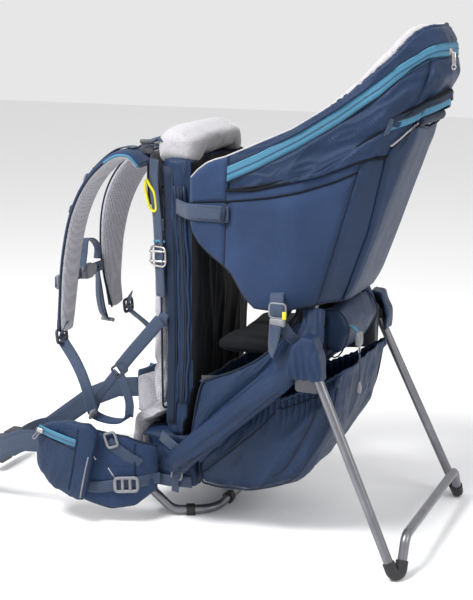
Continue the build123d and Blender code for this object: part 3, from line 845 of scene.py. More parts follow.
def rim_and_liner(front):
    """Gathered rim of the hood and the pale liner that rolls over inside it."""
    gather = lookup_by_depth([(200, 0.3), (280, 1.6), (390, 2.4), (440, 0.8)])
    rim = []
    for i, p in enumerate(line_on_wall(RIM, front, TURNS - front, 420, 0.0)):
        lift = gather(p) * noise.noise(Vector((i * 0.33, 0, 0))) * MM
        rim.append(p + Vector((0, 0, lift)))
    size = lookup_by_depth([(200, 1.6), (300, 3.0), (440, 3.6)])
    rod("hood_rim_binding", rim, lambda p: size(p) + 0.4 * math.sin(p.y * 700), "nylon", steps=1,
        sides=12)
    roll = lookup_by_depth([(60, 2.0), (250, 2.4), (300, 6.0), (335, 8.5), (365, 7.0),
                            (382, 3.5)])
    line = []
    for i in range(361):
        t = front + (TURNS - 2 * front) * i / 360
        r = roll(wall(t, level(t, RIM)))
        wave = 1.0 * noise.noise(Vector((i * 0.12, 3, 0))) * (r > 5)
        line.append(wall(t, level(t, RIM) + 0.55 * r + wave - 1, -2 - r))
    rod("hood_liner_roll", line, roll, "pale", steps=1, sides=20)


def lookup_by_depth(table):
    """Function of a place that reads a table by its depth y."""
    return lambda p: lookup(table, p.y / MM)


def rear_top():
    """Lower zip and bound edge above the rear panel, with the liner that shows between."""
    a, b = 2.42, TURNS - 2.42
    places = [a + (b - a) * k / 90 for k in range(91)]

    def run(shift, out):
        lifted = by_place([(2.4, 0), (3.6, 1.0), (4.2, 9.0), (4.5, 12.0)])
        return [wall(t, level(t, by_place(BAND, shift)), out + lifted(t)) for t in places]
    strap("rear_band", run(0, 6), UP, 11, 2.0, "sky", steps=2)
    strap("rear_band_zip", run(10, 5), UP, 9, 1.8, "deep", steps=2)
    zipper_teeth("rear_band_teeth", run(6, 6.6)[::3], V(0, 0.6, 0.3), "dark", pitch=2.4)
    rod("rear_band_slit", run(16, 1), 3.0, "lining", steps=2)
    rod("rear_liner_sliver", [wall(t, level(t, by_place(REAR_TOP, 6)), 4.0) for t in
                              places if 2.85 < t < TURNS - 2.85], 1.6, "pale", steps=2)
    edge = [wall(t, level(t, by_place(REAR_TOP)), 7.0) for t in places
            if REAR_SEAM < t < TURNS - REAR_SEAM]
    rod("rear_panel_binding", edge, 1.5, "deep", steps=2)
    roll = [wall(t, 672, 5.0) for t in places if 3.75 < t < TURNS - 3.75]
    rod("rear_band_roll", roll, 8.0, "deep", steps=2, sides=16)
    for side, t in (("left", 2.45), ("right", TURNS - 2.45)):
        z = level(t, by_place(BAND))
        strap(f"rear_band_tab_{side}", [wall(t, z + 12, 6), wall(t, z, 8.5), wall(t, z - 16, 7),
                                        wall(t, z - 24, 3)], wall(t + 0.1, z) - wall(t, z), 8,
              2.0, "web")


def hood_ribs():
    """Fan of thin diagonal ribs on the rear panel."""
    for side, flip in (("left", False), ("right", True)):
        for k in range(6):
            t0, t1 = 4.3 - 0.1 * k, 3.25 + 0.06 * k
            line = []
            for j in range(17):
                w = j / 16
                t = t0 + (t1 - t0) * w
                z = 430 + 12 * k + (150 + 9 * k) * w
                line.append(wall(TURNS - t if flip else t, z, 8.6))
            rod(f"rear_rib_{side}_{k}", line, 0.5, "web", steps=2, sides=6)


# --- Column, back pads and base ---------------------------------------------
def column():
    """Padded column, with vertical folds, a dark inner face and a zip on each side."""
    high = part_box("column")[1]
    obj = from_node("column_cover", "column", "nylon", 6)
    modify(obj, "SMOOTH", factor=0.5, iterations=12)
    modify(obj, "SUBSURF", levels=1)
    displace(obj, creases(4.0, (0, 0.05, 1), 4, 26, 2.0))
    second_fabric(obj, "lining",
                  lambda face: face.normal.y > 0.5 or face.center.y > high.y - 15 * MM)
    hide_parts("column", "back_tubes")
    for side in (1, -1):
        x = side * (high.x / MM + 1.6)
        line = [V(x, y, z) for y, z in ((-12, 168), (-8, 300), (-8, 450), (-12, 590))]
        strap(f"column_edge_{side + 1}", line, DEPTH, 14, 2, "deep")
        rod(f"column_piping_{side + 1}", [p + V(0, 9, 0) for p in line], 1.6, "binding")
        line = [V(x, y, z) for y, z in ((8, 205), (14, 300), (14, 420), (8, 560))]
        strap(f"column_zip_{side + 1}", line, DEPTH, 10, 1.8, "deep")
        zipper_teeth(f"column_zip_teeth_{side + 1}", line, V(side * 1.6, 0, 0), "dark")
        for shift in (-8, 8):
            fold = [p + V(-side * 0.6, shift + 1.2 * math.sin(k * 1.9), 0)
                    for k, p in enumerate(spline(line, 5))]
            rod(f"column_fold_{side + 1}_{int(shift > 0)}", fold, 2.6, "nylon", steps=2)
        stitches(f"column_stitch_{side + 1}", [p + V(side * 1.6, 12, 0) for p in line], "deep")


def zipper_teeth(name, points, lift, mat, body="frame", pitch=2.0, size=2.4):
    """Coil of a zip drawn as a row of small raised ribs."""
    line = [p + lift for p in spline(points, 10)]
    verts, faces = [], []
    left = 0.0
    for a, b in zip(line, line[1:]):
        gap, along = (b - a).length, (b - a).normalized()
        while left < gap:
            c = a + along * left
            wide = along.cross(lift.normalized()) * size * MM / 2
            up = lift.normalized() * 0.7 * MM
            n = len(verts)
            for end in (-0.55, 0.55):
                q = c + along * end * MM
                verts.extend([q - wide, q + up - wide * 0.5, q + up + wide * 0.5, q + wide])
            faces.extend([(n, n + 1, n + 5, n + 4), (n + 1, n + 2, n + 6, n + 5),
                          (n + 2, n + 3, n + 7, n + 6), (n, n + 3, n + 2, n + 1),
                          (n + 4, n + 5, n + 6, n + 7), (n, n + 4, n + 7, n + 3)])
            left += pitch * MM
        left -= gap
    return mesh_piece(name, verts, faces, mat, body, smooth=False)


def back_pads():
    """Ventilated mesh pads, lumbar pad and their sewn channels."""
    for side in ("left", "right"):
        obj = padded(f"back_cushion_{side}", f"back_pad_{side}", "mesh", 5, 4, 6)
        low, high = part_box(f"back_pad_{side}")
        for k in range(1, 5):
            z = low.z + (high.z - low.z) * k / 5
            groove(obj, UP, z, 4, 7, DEPTH)
        outline = [(low.x, low.z), (high.x, low.z), (high.x, high.z), (low.x, high.z)]
        edge = [Vector((x, -26 * MM, z)) for x, z in rounded(outline, 14 * MM)]
        rod(f"back_cushion_piping_{side}", edge + edge[:1], 1.8, "binding", steps=1)
    lumbar = padded("lumbar_cushion", "lumbar_pad", "mesh", 5, 3, 6)
    groove(lumbar, ACROSS, 0.0, 4, 10, DEPTH)
    for x in (-52, 52):
        groove(lumbar, ACROSS, x * MM, 2.5, 7, DEPTH)


def groove(obj, across, place, depth, width, inward):
    """Press a sewn channel into a pad."""
    for vert in obj.data.vertices:
        gap = (vert.co.dot(across) - place) / (width * MM)
        vert.co += inward * depth * MM * math.exp(-gap * gap)
    obj.data.update()


def rounded(outline, radius, steps=5):
    """Polygon with its corners turned into arcs."""
    pts = [Vector(p) for p in outline]
    out = []
    for k, p in enumerate(pts):
        a = (pts[k - 1] - p).normalized()
        b = (pts[(k + 1) % len(pts)] - p).normalized()
        for j in range(steps + 1):
            t = j / steps
            out.append((p + a * radius) * (1 - t) ** 2 + p * 2 * t * (1 - t)
                       + (p + b * radius) * t * t)
    return out


def base_body():
    """Padded lower body with the wrap panel, its seams, folds and webbing loops."""
    obj = from_node("base_cover", "base_block", "nylon", 5)
    modify(obj, "SMOOTH", factor=0.5, iterations=10)
    modify(obj, "SUBSURF", levels=1)
    displace(obj, creases(4.0, (0, 0.9, -0.4), 7, 24, 6.0))
    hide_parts("base_block")
    for side in (1, -1):
        x = side * 111
        seam = [V(x, -52, 146), V(x + side, -44, 110), V(x, -38, 66)]
        rod(f"base_seam_{side + 1}", seam, 1.4, "binding")
        strap(f"base_web_{side + 1}", [V(x + side, -60, 72), V(x + side * 2, -20, 70),
                                       V(x, 26, 72)], UP, 20, 2.2, "web")
        loop = [V(x, -28, 146), V(x + side * 10, -12, 141), V(x + side * 13, 6, 131),
                V(x + side * 11, 18, 119), V(x + side * 2, 22, 108)]
        strap(f"base_loop_web_{side + 1}", loop, Vector((0, 0.5, 1)), 18, 1.8, "web")
        frame_ring(f"base_ring_{side + 1}", V(x + side * 6, 2, 84), (18, 14), 3.8, "plastic",
                   Vector((0, 1, -0.15)), Vector((0, 0.15, 1)))
        strap(f"base_ring_web_{side + 1}", [V(x + side * 3, 6, 98), V(x + side * 6, 3, 88),
                                            V(x + side * 7, 0, 74), V(x + side * 6, -1, 62),
                                            V(x + side * 4, -2, 53)],
              DEPTH, 13, 2.0, "web")
        wrap = [V(x - side * 6, -20, 128), V(x + side * 4, -6, 119), V(x + side * 6, 6, 106),
                V(x + side * 1, 14, 92)]
        bunch = rod(f"base_wrap_{side + 1}", wrap, 8.5, "nylon", sides=22)
        modify(bunch, "SUBSURF", levels=1)
        displace(bunch, creases(2.4, (0, 0.75, -0.66), 10, 60, 4.0))


def chin():
    """Heather-grey chin pad on top of the column, domed and drooping at both ends."""
    obj = padded("chin_cushion", "chin_pad", "jersey", 5, 5, 9)
    low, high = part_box("chin_pad")
    middle = (low + high) / 2
    start, reach = 0.52 * high.x, 0.52 * high.x
    for vert in obj.data.vertices:
        past = max(0.0, abs(vert.co.x) - start) / reach
        keep = math.sqrt(max(0.12, 1 - past * past))
        vert.co.y = middle.y + (vert.co.y - middle.y) * keep * (1 + 0.3 * past) - 5 * MM * past
        rise = (vert.co.z - middle.z) * keep
        if rise < 0:
            rise *= 1 + 0.9 * min(1.0, past * 1.6)
        vert.co.z = middle.z + rise * (0.84 if rise > 0 else 1.0) - 6 * MM * min(1.0, past)
    modify(obj, "SMOOTH", factor=0.5, iterations=6)
    displace(obj, folds(1.2, (16, 14, 18), 1.0, 9.0))


# --- Seat -------------------------------------------------------------------
def seat():
    """Seat pad, backrest, headrest and the child's harness."""
    pad = padded("seat_cushion", "seat_pad", "lining", 5, 4, 6, body="seat")
    groove(pad, ACROSS, 0.0, 3, 12, Vector((0, 0, -1)))
    back = padded("seat_back_cushion", "seat_back", "lining", 6, 4, 6)
    for z in (400, 470, 540):
        groove(back, Vector((0, -0.28, 0.96)), z * MM * 0.96, 3, 6, DEPTH)
    head = padded("headrest_cushion", "headrest", "pale", 5, 4, 6)
    displace(head, folds(0.8, (20, 20, 20), 1.0, 4.0))
    for side in (1, -1):
        line = [V(side * 38, 250, 610), V(side * 44, 208, 590), V(side * 50, 176, 520),
                V(side * 46, 180, 440), V(side * 40, 176, 380), V(side * 60, 150, 334)]
        soft = [strap(f"child_strap_{side + 1}", line, ACROSS, 34, 6, "navy_mesh",
                      None, wave=1.0),
                strap(f"child_strap_web_{side + 1}", [p + V(0, -5, 0) for p in line],
                      ACROSS, 20, 2, "web", None)]
        for piece in soft:
            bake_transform(piece)
        plate(f"child_strap_slider_{side + 1}", V(side * 49, 168, 480), (26, 18, 4), "yellow",
              ACROSS, Vector((0, 0.1, 1)))
    plate("child_buckle", V(0, 166, 400), (38, 34, 9), "dark", ACROSS,
          Vector((0, 0.1, 1)))
    plate("child_buckle_button", V(0, 160, 402), (16, 14, 4), "yellow", ACROSS,
          Vector((0, 0.1, 1)))
    for side in (1, -1):
        strap(f"child_buckle_web_{side + 1}", [V(side * 16, 168, 400), V(side * 34, 174, 412),
                                               V(side * 44, 178, 430)],
              Vector((0, 0.1, 1)), 20, 2, "web")
    web = strap("child_crotch_web", [V(0, 168, 388), V(0, 168, 350), V(0, 150, 326)],
                ACROSS, 24, 2, "web", None, steps=12)
    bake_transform(web)


def plate(name, centre, size, mat, wide, tall, body="frame", bevel=None):
    """Moulded plate with rounded corners and soft edges."""
    w, h, d = (s * MM / 2 for s in size)
    wide = wide.normalized()
    deep = wide.cross(tall).normalized()
    up = deep.cross(wide)
    radius = min(w, h) * 0.45 if bevel is None else bevel * MM
    outline = rounded([(-w, -h), (w, -h), (w, h), (-w, h)], radius, 4)
    soft = min(d * 0.6, 1.2 * MM)
    rings = []
    for shrink, lift in ((soft, -d), (0, soft - d), (0, d - soft), (soft, d)):
        rings.append([centre + wide * (p.x - math.copysign(shrink, p.x))
                      + up * (p.y - math.copysign(shrink, p.y)) + deep * lift for p in outline])
    return rings_piece(name, rings, mat, body)


def frame_ring(name, centre, size, bar, mat, wide, tall, body="frame", cross_bars=0):
    """Ladder lock or ring: a rounded rectangular loop with optional cross bars."""
    w, h = size[0] * MM / 2, size[1] * MM / 2
    wide = wide.normalized()
    deep = wide.cross(tall).normalized()
    up = deep.cross(wide)
    corner = min(w, h) * 0.5
    outline = rounded([(-w, -h), (w, -h), (w, h), (-w, h)], corner, 4)
    pts = [centre + wide * p.x + up * p.y for p in outline]
    loop = rod(name, pts + pts[:2], bar / 2, mat, body, steps=1, sides=10)
    pieces = [loop]
    for k in range(cross_bars):
        at = (-1 + 2 * (k + 1) / (cross_bars + 1)) * w
        pieces.append(rod(f"{name}_bar_{k}", [centre + wide * at - up * h, centre + wide * at,
                                              centre + wide * at + up * h], bar / 2.2, mat, body,
                          steps=2))
    return join(name, pieces) if len(pieces) > 1 else loop


# --- Luggage bag, side gussets and sleeves ----------------------------------
BAG = [(46, 250), (38, 165), (40, 84), (58, 71), (100, 70), (142, 74), (208, 101), (247, 158),
       (271, 212), (284, 290)]
BAG_LIP = [(46, 250), (110, 228), (186, 236), (240, 262), (284, 290)]
BAG_HALF = 115


BAG_POCKET_SEAM = [(37, 84), (94, 133), (116, 153), (151, 186), (169, 208)]
BAG_REAR_SEAM = [(244, 234), (242, 222), (220, 174), (190, 122), (170, 104)]
def bag():
    """Lofted shell that hangs below the seat, open at the top, with gathered sides."""
    profile = spline([Vector((y, z, 0)) for y, z in BAG], 9)
    middle = Vector((150, 175, 0))
    rows, rim = len(profile), 26
    flat = [-1 + 2 * k / 30 for k in range(31)]
    side = [k / 14 for k in range(1, 15)]
    stations = [(-1, w) for w in reversed(side)] + [(u, 0) for u in flat] + [(1, w) for w in side]
    verts = []
    for r, p in enumerate(profile):
        v = r / (rows - 1)
        lip_y = 46 + (284 - 46) * v
        lip = Vector((lip_y, lookup(BAG_LIP, lip_y), 0))
        for u, w in stations:
            edge = max(0.0, (abs(u) * BAG_HALF - (BAG_HALF - rim)) / rim)
            inward = rim * (1 - math.cos(edge * math.pi / 4)) * 0.9
            toward = (middle - p).normalized()
            q = p + toward * inward
            x = u * (BAG_HALF - 4 * edge)
            if w:
                q = (p + toward * rim * 0.27).lerp(lip, w)
                x = u * (BAG_HALF - 4 + 8 * math.sin(math.pi * min(1, w * 1.15)) - 3 * w)
            verts.append(V(x, q.x, q.y))
    obj = mesh_piece("bag_shell", verts, grid_faces(rows, len(stations)), "nylon")
    modify(obj, "SUBSURF", levels=1)
    slow = creases(4.2, (0, 0.55, 0.83), 6, 22, 2.0)
    low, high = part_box("lower_bag")

    def sag(p):
        y, z = p.y / MM, p.z / MM
        top = lookup(BAG_LIP, y)
        near_top = math.exp(-((top - z) / 30) ** 2)
        gather = math.sin(y * 0.62 + 3 * noise.noise(p * 30)) * 3.0 * near_top
        keep = 0.2 if p.z < low.z + 8 * MM else 1.0
        return (slow(p) + gather * (1 if abs(p.x) > 95 * MM else 0.3)) * keep
    displace(obj, sag)
    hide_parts("lower_bag")
    for s, label in SIDES:
        line = [V(s * (BAG_HALF + 0.5), p.x, p.y) + (V(0, middle.x - p.x, middle.y - p.y)
                .normalized() * 6 * MM) for p in profile]
        rod(f"bag_edge_{label}", line, 1.7, "binding", steps=1)
        lip = [V(s * (BAG_HALF + 1), y, z + 1.4 * math.sin(y * 0.6)) for y, z in
               ((46 + 4 * k, lookup(BAG_LIP, 46 + 4 * k)) for k in range(60))]
        rod(f"bag_elastic_{label}", lip, 2.6, "nylon", steps=1)
        channel = [(y, lookup(BAG_LIP, y) - 18 + 0.8 * math.sin(y * 0.6))
                   for y in range(176, 250, 3)]
        rod(f"bag_elastic_seam_{label}", side_hits(obj, s, channel, 0.4), 1.3, "binding", steps=2)
        for kind, seam in (("pocket", BAG_POCKET_SEAM), ("rear", BAG_REAR_SEAM)):
            points = [(p.x, p.y) for p in spline([Vector((y, z, 0)) for y, z in seam], 6)]
            line = side_hits(obj, s, points, 0.6)
            rod(f"bag_{kind}_seam_{label}", line, 1.5, "binding", steps=2)
            stitches(f"bag_{kind}_stitch_{label}", [p + V(s * 0.4, -5, 3) for p in line], "deep",
                     steps=2)
    modify(obj, "SOLIDIFY", thickness=1.8 * MM, offset=-1.0)


GUSSET = [(30, 128), (38, 190), (51, 246), (68, 258), (110, 276), (150, 300), (186, 334),
          (212, 366), (228, 360), (224, 330), (200, 290), (160, 236), (118, 180), (78, 140),
          (48, 112)]


def gussets():
    """Soft side panel between the column and each side tube, over the flat strut."""
    for s, label in SIDES:
        def place(y, z, lift):
            return V(s * (121.5 + lift), y, z)
        obj = pillow(f"gusset_{label}", GUSSET, 7.0, place, "nylon", back=0.3, round_=2.0,
                     rings=14, cols=160)
        modify(obj, "SUBSURF", levels=1)
        displace(obj, creases(4.8, (0, 0.62, 0.78), 5, 28, 3.0))
        edge = [V(s * 124, y, z) for y, z in GUSSET[:8]]
        rod(f"gusset_edge_{label}", edge, 1.7, "binding")


def sleeves():
    """Fabric sleeve on the lower stretch of each side tube, creased along its length."""
    for s, label in SIDES:
        route = [Vector(p) for p in ((104, -8, 98), (120, 4, 106), (133, 24, 126),
                                     (137, 70, 166), (140, 130, 222), (141, 188, 275),
                                     (141, 205, 296), (139, 214, 312))]
        line = spline(route, 12)
        rings = []
        last = len(line) - 1
        for i, (p, _, wide, up) in enumerate(frames_along(line, ACROSS)):
            end = min(i, last - i) / last
            swell = 14 + 6 * min(1.0, end * 5) - (3 if end == 0 else 0)
            ring = []
            for k in range(36):
                angle = 2 * math.pi * k / 36
                crease = 2.4 * math.cos(angle * 3 + i * 0.07) * (0.6 + 0.4 * math.sin(i * 0.11))
                crease += 1.2 * math.cos(angle * 7 - i * 0.13)
                ruffle = 2.2 * math.sin(i * 1.1 + angle * 2) * math.exp(-i / 9)
                r = swell + crease + ruffle
                q = p + wide * math.cos(angle) * r * 0.86 + up * math.sin(angle) * r
                ring.append(V(s * q.x, q.y, q.z))
            rings.append(ring)
        sleeve = rings_piece(f"sleeve_cover_{label}", rings, "nylon")
        modify(sleeve, "SUBSURF", levels=1)
        displace(sleeve, creases(3.5, (0, 0.75, 0.66), 4, 45, 5.0))
        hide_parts(f"frame_sleeve_{label}")
        rod(f"sleeve_seam_{label}", [V(s * (p.x + 14), p.y + 9, p.z - 12)
                                     for p in line[12:-24:6]], 1.3, "binding")
        shroud(s, label)


def shroud(s, label):
    """Gathered fabric over the upper side tube, with a ruffled top."""
    route = [Vector(p) for p in ((141, 190, 278), (140, 212, 306), (134, 230, 335),
                                 (122, 236, 358), (108, 233, 384))]
    line = spline(route, 10)
    rings = []
    for i, (p, _, wide, up) in enumerate(frames_along(line, ACROSS)):
        t = i / (len(line) - 1)
        swell = 17 + 8 * math.sin(math.pi * min(1, t * 1.3)) - 3 * t
        ring = []
        for k in range(32):
            angle = 2 * math.pi * k / 32
            gather = 1.8 * math.sin(angle * 9 + 4 * t) * (0.35 + 0.65 * t)
            r = swell + gather
            q = p + wide * math.cos(angle) * r * 0.8 + up * math.sin(angle) * r * 1.15
            ring.append(V(s * q.x, q.y, q.z))
        rings.append(ring)
    obj = rings_piece(f"tube_shroud_{label}", rings, "nylon")
    modify(obj, "SUBSURF", levels=1)
    displace(obj, folds(1.6, (30, 30, 12), 1.0, 5.0, 0.8))


def cuffs():
    """Gathered cuff over each pivot of the stand."""
    for label in ("left", "right"):
        obj = from_node(f"cuff_cover_{label}", f"stand_cuff_{label}", "nylon", 2.5)
        modify(obj, "SMOOTH", factor=0.5, iterations=10)
        low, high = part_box(f"stand_cuff_{label}")
        for vert in obj.data.vertices:
            vert.co.y = 244 * MM + (vert.co.y - (low.y + high.y) / 2) * 0.78
            vert.co.z = low.z + (vert.co.z - low.z) * 0.94

        def gather(p):
            down = (high.z - p.z) / (high.z - low.z)
            return 1.7 * math.sin(p.y * 520 + 6 * noise.noise(p * 25)) * down + 0.8
        displace(obj, gather)
        modify(obj, "SUBSURF", levels=1)
        displace(obj, folds(1.2, (24, 24, 12), 1.0, 7.0, 0.8))
        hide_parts(f"stand_cuff_{label}")


def housings():
    """Moulded pivot housing inside each cuff, with its lower end showing."""
    shells = []
    for s in (1, -1):
        shells.append(plate(f"pivot_shell_{s + 1}", V(s * 143, 239, 301), (38, 76, 18), "slate",
                            DEPTH, UP, None, 6))
    obj = join("pivot_shells", shells)
    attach(obj, "frame")
    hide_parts("pivot_housings")


def tail():
    """Folded flap below the cockpit's rear."""
    obj = padded("tail_cushion", "tail_flap", "nylon", 5, 3, 5)
    displace(obj, folds(1.8, (8, 22, 22), 1.0, 3.0, 0.8))
    for s in (1, -1):
        line = [V(s * 73, y, z) for y, z in ((236, 376), (262, 376), (279, 345), (262, 303),
                                             (240, 313), (236, 376))]
        rod(f"tail_piping_{s + 1}", line, 1.3, "binding", steps=4)


# --- Free cord of the bag ---------------------------------------------------
BAG_CORD = [(0.0600, 0.2915, 0.318), (0.0610, 0.2930, 0.302), (0.0570, 0.2940, 0.284),
            (0.0590, 0.2925, 0.262)]


def bag_cord():
    """Thin cord that hangs from the bag's small buckle, with its moulded grip."""
    data = bpy.data.curves.new("bag_pull_cord", "CURVE")
    data.dimensions = "3D"
    data.bevel_depth = 0.0014
    data.bevel_resolution = 3
    curve = data.splines.new("NURBS")
    curve.points.add(len(BAG_CORD) - 1)
    for point, place in zip(curve.points, BAG_CORD):
        point.co = (*place, 1)
    curve.order_u = 3
    curve.use_endpoint_u = True
    curve.resolution_u = 12
    cord = bpy.data.objects.new("bag_pull_cord", data)
    bpy.context.collection.objects.link(cord)
    data.materials.append(MAT["web"])
    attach(cord, "frame")
    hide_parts("bag_cord")
    low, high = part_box("cord_end")
    grip_mid = (low + high) / 2
    rings = []
    for k in range(13):
        t = k / 12
        size = 0.55 + 0.45 * math.sin(math.pi * min(1, t * 1.15 + 0.1)) ** 0.6
        ring = []
        for j in range(20):
            a = 2 * math.pi * j / 20
            ring.append(Vector((grip_mid.x + 0.5 * (high.x - low.x) * size * math.cos(a),
                                grip_mid.y + 0.5 * (high.y - low.y) * size * math.sin(a),
                                low.z + (high.z - low.z) * t)))
        rings.append(ring)
    grip = rings_piece("cord_grip", rings, "plastic")
    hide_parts("cord_end")
    low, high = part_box("bag_buckle")
    middle = (low + high) / 2
    buckle = plate("bag_buckle_body", middle, (16, 22, 8), "plastic", ACROSS,
                   UP)
    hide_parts("bag_buckle")
    for s in (1, -1):
        plate(f"bag_buckle_arm_{s + 1}", middle + V(s * 6.6, 0.5, 3), (2.4, 13, 8.8), "plastic",
              ACROSS, UP)
    strap("bag_buckle_web", [V(58, 262, 352), V(59, 278, 350), V(60, 289, 342), V(60, 291, 330)],
          ACROSS, 10, 1.6, "sky")
    frame_ring("bag_ring", V(60, 292, 314), (9, 8), 1.8, "silver", ACROSS,
               UP)


# --- Harness ----------------------------------------------------------------
STRAP_ROUTE = [(-52, 590), (-70, 606), (-100, 600), (-142, 562), (-172, 508), (-190, 440),
               (-200, 365), (-206, 306)]
STRAP_X = 107


def pad_band(name, line, side, half, outer, inner, mats, body, shift=None, cols=28):
    """Padded band whose two faces have different fabrics."""
    rings = []
    for i, (p, _, wide, up) in enumerate(frames_along(line, side)):
        t = i / (len(line) - 1)
        w = half(t) * MM
        ring = []
        for k in range(cols):
            a = 2 * math.pi * (k + 0.5) / cols
            c, s = math.cos(a), math.sin(a)
            depth = outer if s > 0 else inner
            rise = math.copysign(abs(s) ** 0.62, s) * (depth(t) if callable(depth) else depth)
            q = p + wide * math.copysign(abs(c) ** 0.8, c) * w + up * rise * MM
            ring.append(q + (shift(t) if shift else Vector()))
        rings.append(ring)
    obj = rings_piece(name, rings, mats[0], body)
    obj.data.materials.append(MAT[mats[1]])
    for face in obj.data.polygons:
        if len(face.vertices) != 4:
            continue
        columns = {v % cols for v in face.vertices}
        lower = min(columns) >= cols // 2 - 1 and 0 not in columns
        face.material_index = 1 if lower else 0
    return obj


def harness():
    """Shoulder straps, yoke, buckles and webbing that ride on the height slider."""
    for s, label in SIDES:
        twist = 0.0 if s > 0 else 0.6
        route = []
        for k, (y, z) in enumerate(STRAP_ROUTE):
            middle = math.sin(math.pi * min(1.0, k * 0.85 / (len(STRAP_ROUTE) - 1))) * (s < 0)
            route.append(V(s * (STRAP_X - 32 * middle), y - 26 * middle, z))
        line = spline(route, 12)

        def side(t):
            turn = twist * math.sin(math.pi * min(1.0, t * 1.1))
            return Vector((s * math.cos(turn), math.sin(turn), 0))

        def half(t):
            return lookup([(0, 26), (0.2, 30), (0.55, 29), (0.8, 26), (0.93, 22), (1, 17)], t)
        obj = pad_band(f"strap_pad_{label}", line, side, half, 8, 8, ("soft", "mesh"), "harness")
        modify(obj, "SUBSURF", levels=1)
        outward_check(obj, line)
        displace(obj, channels(line))
        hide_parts(f"shoulder_strap_{label}")
        framed = frames_along(line, side)
        for edge in (1, -1):
            trim = []
            for i, (p, _, wide, up) in enumerate(framed):
                trim.append(p + wide * edge * (half(i / (len(line) - 1)) * MM))
            cut = len(trim) // 3
            rod(f"strap_binding_{label}_{edge + 1}", trim, 1.8, "binding", "harness", steps=1)
            rod(f"strap_piping_{label}_{edge + 1}", trim[:cut], 2.1, "sky", "harness", steps=1)
        outer = []
        for p, _, wide, up in framed[12:]:
            away = up.dot(p - Vector((p.x, -0.09, 0.44))) > 0
            outer.append(p + up * (10.5 if away else -10.5) * MM)
        strap(f"daisy_web_{label}", outer, side, 20, 2, "web", "harness", steps=2)
        for k, t in enumerate((0.30, 0.42, 0.54, 0.66, 0.78)):
            p = outer[int(t * (len(outer) - 1))]
            strap(f"daisy_tack_{label}_{k}", [p + V(-11, 0, 0), p + V(0, -1.5, 0), p + V(11, 0, 0)],
                  Vector((0, 0.25, 1)), 3.2, 2.2, "binding", "harness")
        for k, t in enumerate((0.36, 0.50)):
            p = outer[int(t * (len(outer) - 1))]
            plate(f"strap_keeper_{label}_{k}", p + V(0, -2, 0), (24, 15, 4),
                  "plastic" if k == 0 else "dark", ACROSS,
                  Vector((0, 0.35, 1)), "harness")
        adjuster(s, label)
        lifter(s, label)
    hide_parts("strap_adjusters")
    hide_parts("load_lifters")
    yoke()
    tails()


def outward_check(obj, line):
    """Put the mesh fabric on the side of a strap that faces the wearer."""
    worn, out = [], []
    tree = line[::4]
    for face in obj.data.polygons:
        near = min(tree, key=lambda p: (p - face.center).length_squared)
        (worn if face.material_index else out).append(face.center - near)
    if sum((d.y - d.z for d in worn), 0.0) / max(1, len(worn)) < \
            sum((d.y - d.z for d in out), 0.0) / max(1, len(out)):
        for face in obj.data.polygons:
            face.material_index = 1 - face.material_index


def channels(line):
    """Cross seams near the lower end of a strap."""
    seams = [line[int(len(line) * t)] for t in (0.40, 0.86, 0.92)]

    def shift(p):
        return -2.4 * sum(math.exp(-((p - q).length / 0.0045) ** 2 * 0.2)
                          if abs(p.z - q.z) < 0.006 else 0 for q in seams)
    return shift


def adjuster(s, label):
    """Tension buckle at the lower end of a strap."""
    at = V(s * 118, -207, 299)
    frame_ring(f"adjuster_{label}", at, (30, 22), 5.5, "dark", ACROSS,
               Vector((0, -0.1, 1)), "harness")
    rod(f"adjuster_bar_{label}", [at + V(-14, 1, -2), at + V(0, 1.5, -2), at + V(14, 1, -2)],
        2.6, "dark", "harness")
    strap(f"adjuster_web_{label}", [V(s * 110, -198, 322), V(s * 115, -204, 309), at,
                                    at + V(s * 1, 5, -12)], Vector((1, 0.2, 0)), 20, 2, "web",
          "harness")


def lifter(s, label):
    """Load-lifter buckle at the top of a strap and its webbing to the column."""
    at = V(s * 97, -52, 617)
    facing, up = Vector((-0.4 * s, 1, 0)), Vector((0, -0.1, 1))
    plate(f"lifter_{label}", at, (20, 22, 8), "slate", facing, up, "harness")
    plate(f"lifter_lip_{label}", at + V(s * 2, 0, 9), (22, 6, 10), "slate", facing, up,
          "harness")
    strap(f"lifter_web_{label}", [at + V(-s * 4, -22, -22), at + V(-s * 3, -8, -4),
                                  at + V(-s * 3, 8, 4), at + V(-s * 3, 18, 2)],
          ACROSS, 18, 1.8, "web", "harness")
    strap(f"lifter_pull_{label}", [at + V(-s * 2, 10, 8), at + V(-s * 2, 20, 14),
                                   at + V(-s * 2, 28, 10)],
          ACROSS, 16, 1.8, "web", "harness")


def yoke():
    """Plate that joins the straps, as a stitched panel with mesh toward the wearer."""
    low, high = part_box("harness_yoke")
    middle_y, z0, z1 = -52, low.z / MM + 4, high.z / MM - 2
    outline = [(-96, z0), (96, z0), (100, (z0 + z1) / 2), (94, z1), (-94, z1),
               (-100, (z0 + z1) / 2)]
    obj = pillow("yoke_panel", outline, 6, lambda x, z, lift: V(x, middle_y - lift, z), "mesh",
                 "harness", back=1.0, round_=3.0, rings=8)
    modify(obj, "SUBSURF", levels=1)
    groove(obj, ACROSS, 0.0, 2.0, 6, DEPTH)
    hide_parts("harness_yoke")
    edge = [V(p.x * 0.985, middle_y, p.y) for p in rounded(outline, 14)]
    rod("yoke_piping", edge + edge[:1], 2.0, "binding", "harness", steps=1)


